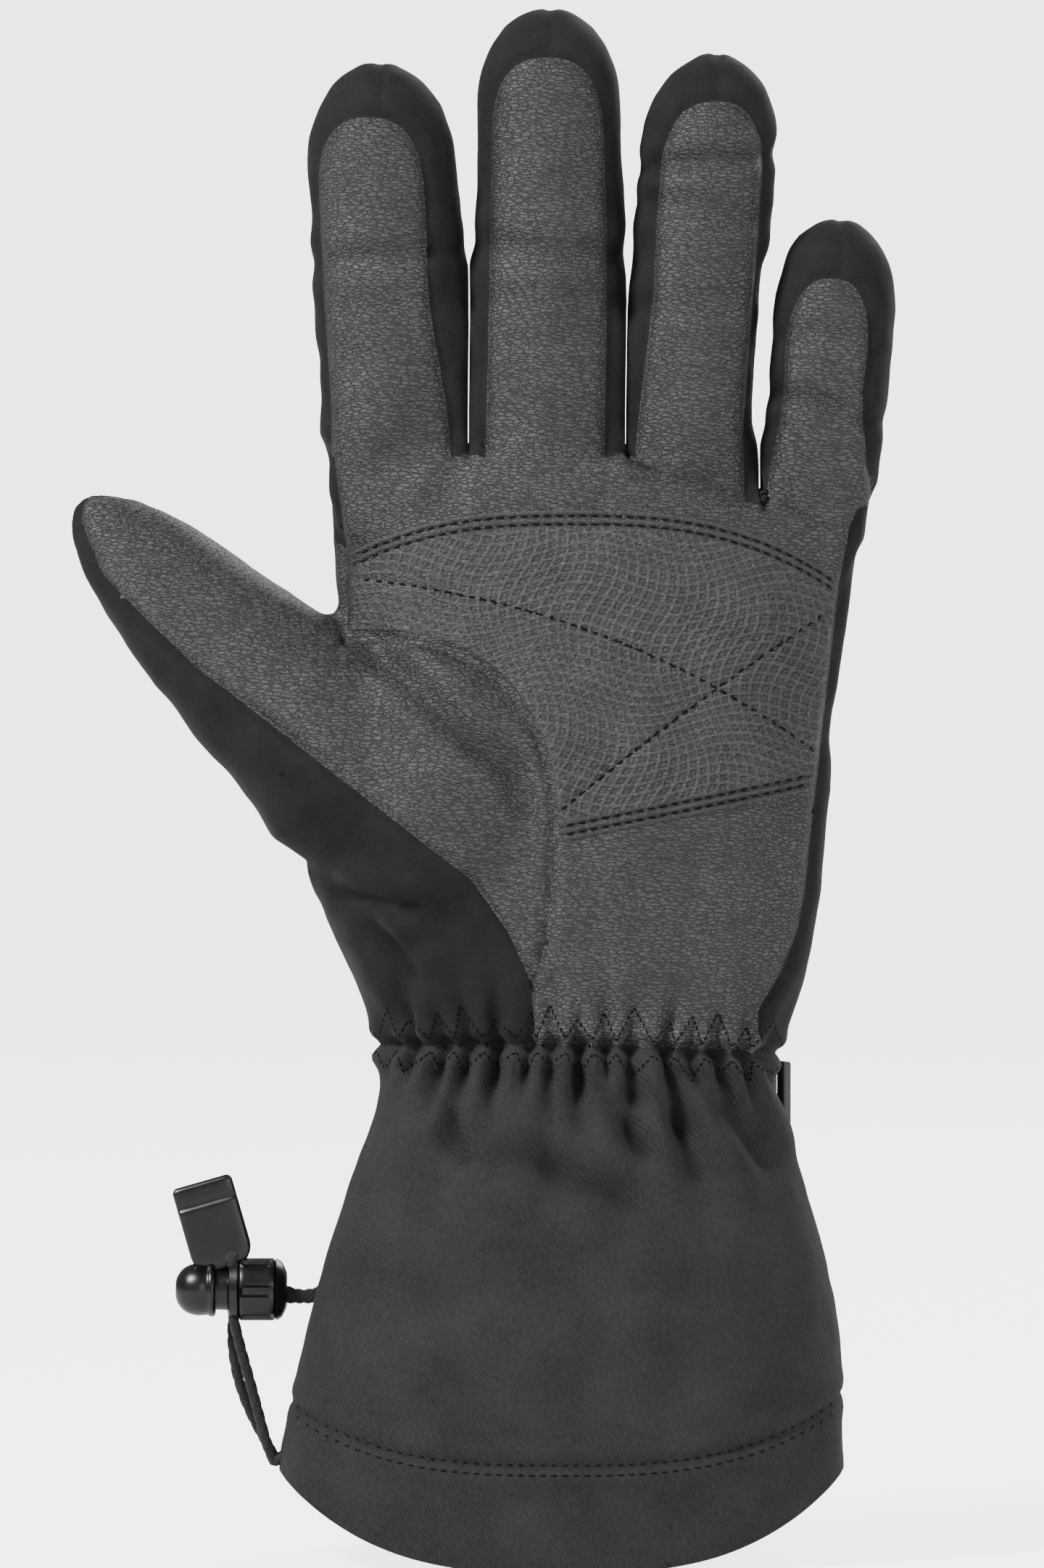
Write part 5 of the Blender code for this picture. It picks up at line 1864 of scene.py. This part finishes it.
def lock_body():
    """The barrel: a neck under the button's skirt, grip grooves and an end flange."""
    start, end = LOCK_LOW[0] + 1.3, LOCK_HIGH[0]
    radius = (LOCK_HIGH[2] - LOCK_LOW[2]) / 2

    def grooves(x, turn):
        inside = smoothstep(x, start + 2.4, start + 3.0) * (1 - smoothstep(x, end - 3.4, end - 2.8))
        return inside * 0.75 * smoothstep(np.cos(turn * 6), 0.45, 0.75)

    outer = [(start - 3.5, 1.8), (start - 3.5, 4.1), (start - 0.1, 4.2), (start, radius - 0.9), (start + 0.4, radius - 0.2),
             (start + 1.9, radius), (start + 2.2, radius - 0.5), (start + 2.5, radius - 0.2)]
    outer += [(x, radius - 0.1) for x in np.linspace(start + 2.7, end - 3.0, 9)]
    outer += [(end - 2.6, radius - 0.2), (end - 2.4, radius - 0.6), (end - 2.1, radius - 0.1), (end - 1.0, radius - 0.8),
              (end - 0.3, radius - 2.2), (end, radius - 3.0), (end, 0.01)]
    rings = turned_rings(outer, 96, LOCK_MIDDLE, grooves)
    obj = solid("cord_lock_body", rings, "moulded")
    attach(obj, "cord_lock")
    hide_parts("lock_body")


def braided_tube(path, radius, sides=14, spacing=0.42):
    """Rings of a cord whose braid shows as crossing helical bumps."""
    marks = resample(path, spacing)
    turn = np.linspace(0, 2 * np.pi, sides, endpoint=False)
    side = np.array((0.0, 1.0, 0.0))
    rings = []
    for i, at in enumerate(marks):
        ahead = marks[min(i + 1, len(marks) - 1)] - marks[max(i - 1, 0)]
        ahead = ahead / np.linalg.norm(ahead)
        side = side - ahead * (side @ ahead)
        side = side / np.linalg.norm(side)
        up = np.cross(ahead, side)
        run = i * spacing
        weave = np.maximum(np.cos(4 * turn + run * 2.1), np.cos(4 * turn - run * 2.1))
        r = radius * (0.93 + 0.09 * weave)
        rings.append(at + np.outer(r * np.cos(turn), side) + np.outer(r * np.sin(turn), up))
    return rings


def strand(side):
    """One strand from under the lock to the slit in the hem; the two lie side by side."""
    top = LOCK_LOW[2] + 1.5
    t = np.linspace(0, 1, 24)
    bow = np.sin(np.pi * np.minimum(t * 1.1, 1.0))
    x = STRAND_X + 8.3 * t**1.7 - side * 1.15 * bow
    y = side * STRAND_Y * (1 - 0.45 * bow)
    return np.stack([x, y, top + (19.0 - top) * t], 1)


def drawcord():
    low, high = to_glove(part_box("hem_band"))
    middle = (low[0] + high[0]) / 2
    reach_x, reach_y = (high[0] - low[0]) / 2 - 2.8, (high[1] - low[1]) / 2 - 2.8
    turn = np.linspace(math.radians(186), math.radians(534), 160)
    x = middle + reach_x * np.sign(np.cos(turn)) * np.abs(np.cos(turn)) ** (2 / 2.35)
    y = reach_y * np.sign(np.sin(turn)) * np.abs(np.sin(turn)) ** (2 / 2.35)
    loop = np.stack([x, y, hem_edge(x) + 6.0], 1)
    path = np.concatenate([strand(-1), loop, strand(1)[::-1]])
    obj = solid("drawcord_braid", braided_tube(path, CORD_RADIUS), "braid", 60)
    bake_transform(obj)
    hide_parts("drawcord")


def tail_cords():
    tab_low = to_glove(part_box("pull_tab")[0])
    for side, name in ((-1, "front"), (1, "back")):
        z = np.linspace(LOCK_LOW[2] + 1.5, tab_low[2] + 1.6, 12)
        path = np.stack([np.full(12, STRAND_X), np.full(12, side * STRAND_Y), z], 1)
        lean = smoothstep(z, LOCK_HIGH[2], tab_low[2] + 2.0)
        path[:, 1] *= 1 - 0.72 * lean
        path[:, 0] -= 1.3 * lean
        obj = solid("tail_cord_braid_" + name, braided_tube(path, CORD_RADIUS), "braid", 60)
        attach(obj, "tab")
        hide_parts("tail_cord_" + name)


TAB_HALF = (6.2, 1.7, 9.2)
TAB_TILT = math.radians(-16.0)


def pull_tab():
    """A moulded pull: square top with a groove under it, and a rounded lower end."""
    low, high = (to_glove(corner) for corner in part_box("pull_tab"))
    middle = (low + high) / 2 + np.array((0.6, 0, -2.4))
    half_w, half_d, half_h = TAB_HALF
    rings = []
    tilt = Matrix.Rotation(TAB_TILT, 3, "Y")
    ux, uy = superoval(64, 7.0)
    ends = np.sin(np.linspace(0, math.pi / 2, 7))
    z_steps = np.concatenate([-half_h + 4.2 * (1 - ends[::-1]), np.linspace(-4.3, 7.4, 40), half_h - 1.2 * (1 - ends)])
    for z in z_steps:
        below = np.clip((-half_h + 4.2 - z) / 4.2, 0, 1)
        above = np.clip((z - half_h + 1.2) / 1.2, 0, 1)
        width = half_w - 4.4 * (1 - math.sqrt(max(1 - below**2, 0))) - 1.1 * (1 - math.sqrt(max(1 - above**2, 0)))
        depth = half_d - 0.9 * (1 - math.sqrt(max(1 - below**4, 0))) - 0.9 * (1 - math.sqrt(max(1 - above**2, 0)))
        depth -= 0.5 * float(bump(z - 4.9, 0.5))
        depth -= 0.22 * float(smoothstep(z, 4.9, 5.3))
        flat = np.stack([width * ux, depth * uy, np.full(len(ux), z)], 1)
        rings.append(flat @ np.array(tilt).T + middle)
    obj = solid("cord_pull_tab", rings, "moulded", 50)
    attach(obj, "tab")
    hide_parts("pull_tab")


def lock_tether():
    """The folded webbing that ties the lock to the cuff's side."""
    start = LOCK_HIGH + np.array((-0.6, 0, 0))
    z = LOCK_MIDDLE[2] - 0.9
    inside_x = to_glove(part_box("lock_tether")[1])[0] + 3.4
    rings = []
    for t in np.linspace(0, 1, 15):
        x = start[0] + (inside_x - start[0]) * t
        tall = 1.9 - 0.5 * math.sin(math.pi * t) + 0.12 * math.sin(t * 60)
        thick = 0.75 + 0.1 * math.sin(t * 45)
        ux, uy = superoval(28, 4.0)
        dip = -0.5 * math.sin(math.pi * t)
        rings.append(np.stack([np.full(28, x), LOCK_MIDDLE[1] + thick * ux, z + dip + tall * uy], 1))
    obj = solid("lock_tether_webbing", rings, "webbing", 50)
    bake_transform(obj)
    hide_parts("lock_tether")


def wrist_strap():
    """Webbing round the back of the wrist, up to the buckle."""
    low, high = (to_glove(corner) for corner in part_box("wrist_strap"))
    turns = np.radians(np.linspace(28, 148, 120))
    rows = np.linspace(low[2], high[2], 12)
    outer = np.zeros((len(rows), len(turns), 3))
    for j, z in enumerate(rows):
        for i, turn in enumerate(turns):
            ahead = Vector((-math.cos(turn), -math.sin(turn) * 0.8, 0)).normalized()
            start = Vector(to_frame((MIDDLE_OF_WRIST, 0, z))) - ahead * 0.12
            hit = surface.ray_cast(start, ahead)[0]
            away = 1.7 + 2.4 * float(smoothstep(-math.degrees(turn), -42, -29))
            outer[j, i] = to_glove(hit) - np.array(ahead) * away
    for j in range(len(rows)):
        line = outer[j]
        for _ in range(6):
            line[1:-1] = 0.25 * line[:-2] + 0.5 * line[1:-1] + 0.25 * line[2:]
    outer[:, :, :2] = outer[:, :, :2].mean(0)
    across = np.linspace(-1, 1, len(rows))
    rings = []
    for i in range(len(turns)):
        ahead = outer[:, min(i + 1, len(turns) - 1)] - outer[:, max(i - 1, 0)]
        out = np.stack([ahead[:, 1], -ahead[:, 0], 0 * ahead[:, 0]], 1)
        out /= np.linalg.norm(out, axis=1, keepdims=True)
        rib = 0.07 * math.cos(i * math.pi)
        top = outer[:, i] + out * (rib + 0.08 * np.cos(across * 9.4))[:, None]
        bottom = outer[:, i] - out * 1.2
        rings.append(np.concatenate([top, bottom[::-1]]))
    obj = solid("wrist_strap_webbing", rings, "webbing", 60)
    bend_base(obj)
    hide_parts("wrist_strap")


lock_button()
lock_body()
drawcord()
tail_cords()
pull_tab()
lock_tether()
wrist_strap()
for node, look in (("buckle_frame", "buckle"), ("lock_spring", "steel")):
    mesh = frame["nodes"][node].data
    for k in range(len(mesh.materials)):
        mesh.materials[k] = MATERIALS[look]


# ------------------------------------------------------------ studio

FRAME_HEIGHT = 315.7
VIEW_CENTRE = Vector((0.00717, 0.0, 0.1555))
CAMERA_DISTANCE = 2.2
CAMERA_RISE = math.radians(1.5)
SENSOR = 24.0
BACKGROUND = 3.5
ROOM_LIGHT = 0.25


def area_light(name, at, size, power, target):
    data = bpy.data.lights.new(name, "AREA")
    data.shape = "RECTANGLE"
    data.size, data.size_y = size
    data.energy = power
    light = bpy.data.objects.new(name, data)
    light.location = at
    light.rotation_euler = (Vector(target) - Vector(at)).to_track_quat("-Z", "Y").to_euler()
    bpy.context.scene.collection.objects.link(light)


def studio():
    camera_data = bpy.data.cameras.new("camera")
    camera_data.sensor_fit = "VERTICAL"
    camera_data.sensor_height = SENSOR
    camera_data.lens = CAMERA_DISTANCE * SENSOR / (FRAME_HEIGHT * MM)
    camera_data.clip_start = 0.05
    camera = bpy.data.objects.new("camera", camera_data)
    away = Vector((0, -math.cos(CAMERA_RISE), math.sin(CAMERA_RISE))) * CAMERA_DISTANCE
    camera.location = VIEW_CENTRE + away
    camera.rotation_euler = (-away).to_track_quat("-Z", "Y").to_euler()
    bpy.context.scene.collection.objects.link(camera)
    bpy.context.scene.camera = camera

    half = 12.0
    corners = [(-half, -half, 0), (half, -half, 0), (half, half, 0), (-half, half, 0)]
    floor = new_object("studio_floor", [(x, y, -0.0004) for x, y, _ in corners], [(0, 1, 2, 3)])
    paper = Shader("studio_paper", 0.9, on_cad=True)
    paper.colour(paper.ramp(paper.noise(0.004, 1.0), ((0.0, grey(0.8)), (1.0, grey(0.82)))))
    paper.surface.inputs["Emission Color"].default_value = (1, 1, 1, 1)
    seen = paper.node("ShaderNodeLightPath").outputs["Is Camera Ray"]
    paper.link(paper.scaled(seen, BACKGROUND), paper.surface.inputs["Emission Strength"])
    floor.data.materials.append(paper.material)

    world = bpy.data.worlds.new("soft_room")
    world.use_nodes = True
    tree = world.node_tree
    seen = tree.nodes.new("ShaderNodeLightPath").outputs["Is Camera Ray"]
    strength = tree.nodes.new("ShaderNodeMapRange")
    strength.inputs["To Min"].default_value = ROOM_LIGHT
    strength.inputs["To Max"].default_value = BACKGROUND + 0.2
    tree.links.new(seen, strength.inputs["Value"])
    tree.links.new(strength.outputs["Result"], tree.nodes["Background"].inputs["Strength"])
    tree.nodes["Background"].inputs["Color"].default_value = (1, 1, 1, 1)
    bpy.context.scene.world = world
    area_light("key", (-0.85, -0.65, 1.15), (0.35, 0.35), 36.0, (0, 0, 0.16))
    area_light("front", (0.5, -1.7, 0.5), (0.8, 0.8), 7.0, (0, 0, 0.15))
    area_light("side", (1.1, -0.45, 0.3), (0.3, 0.9), 9.0, (0, 0, 0.13))
    area_light("back", (0.7, 1.2, 1.0), (0.9, 0.9), 16.0, (0, 0, 0.15))


studio()
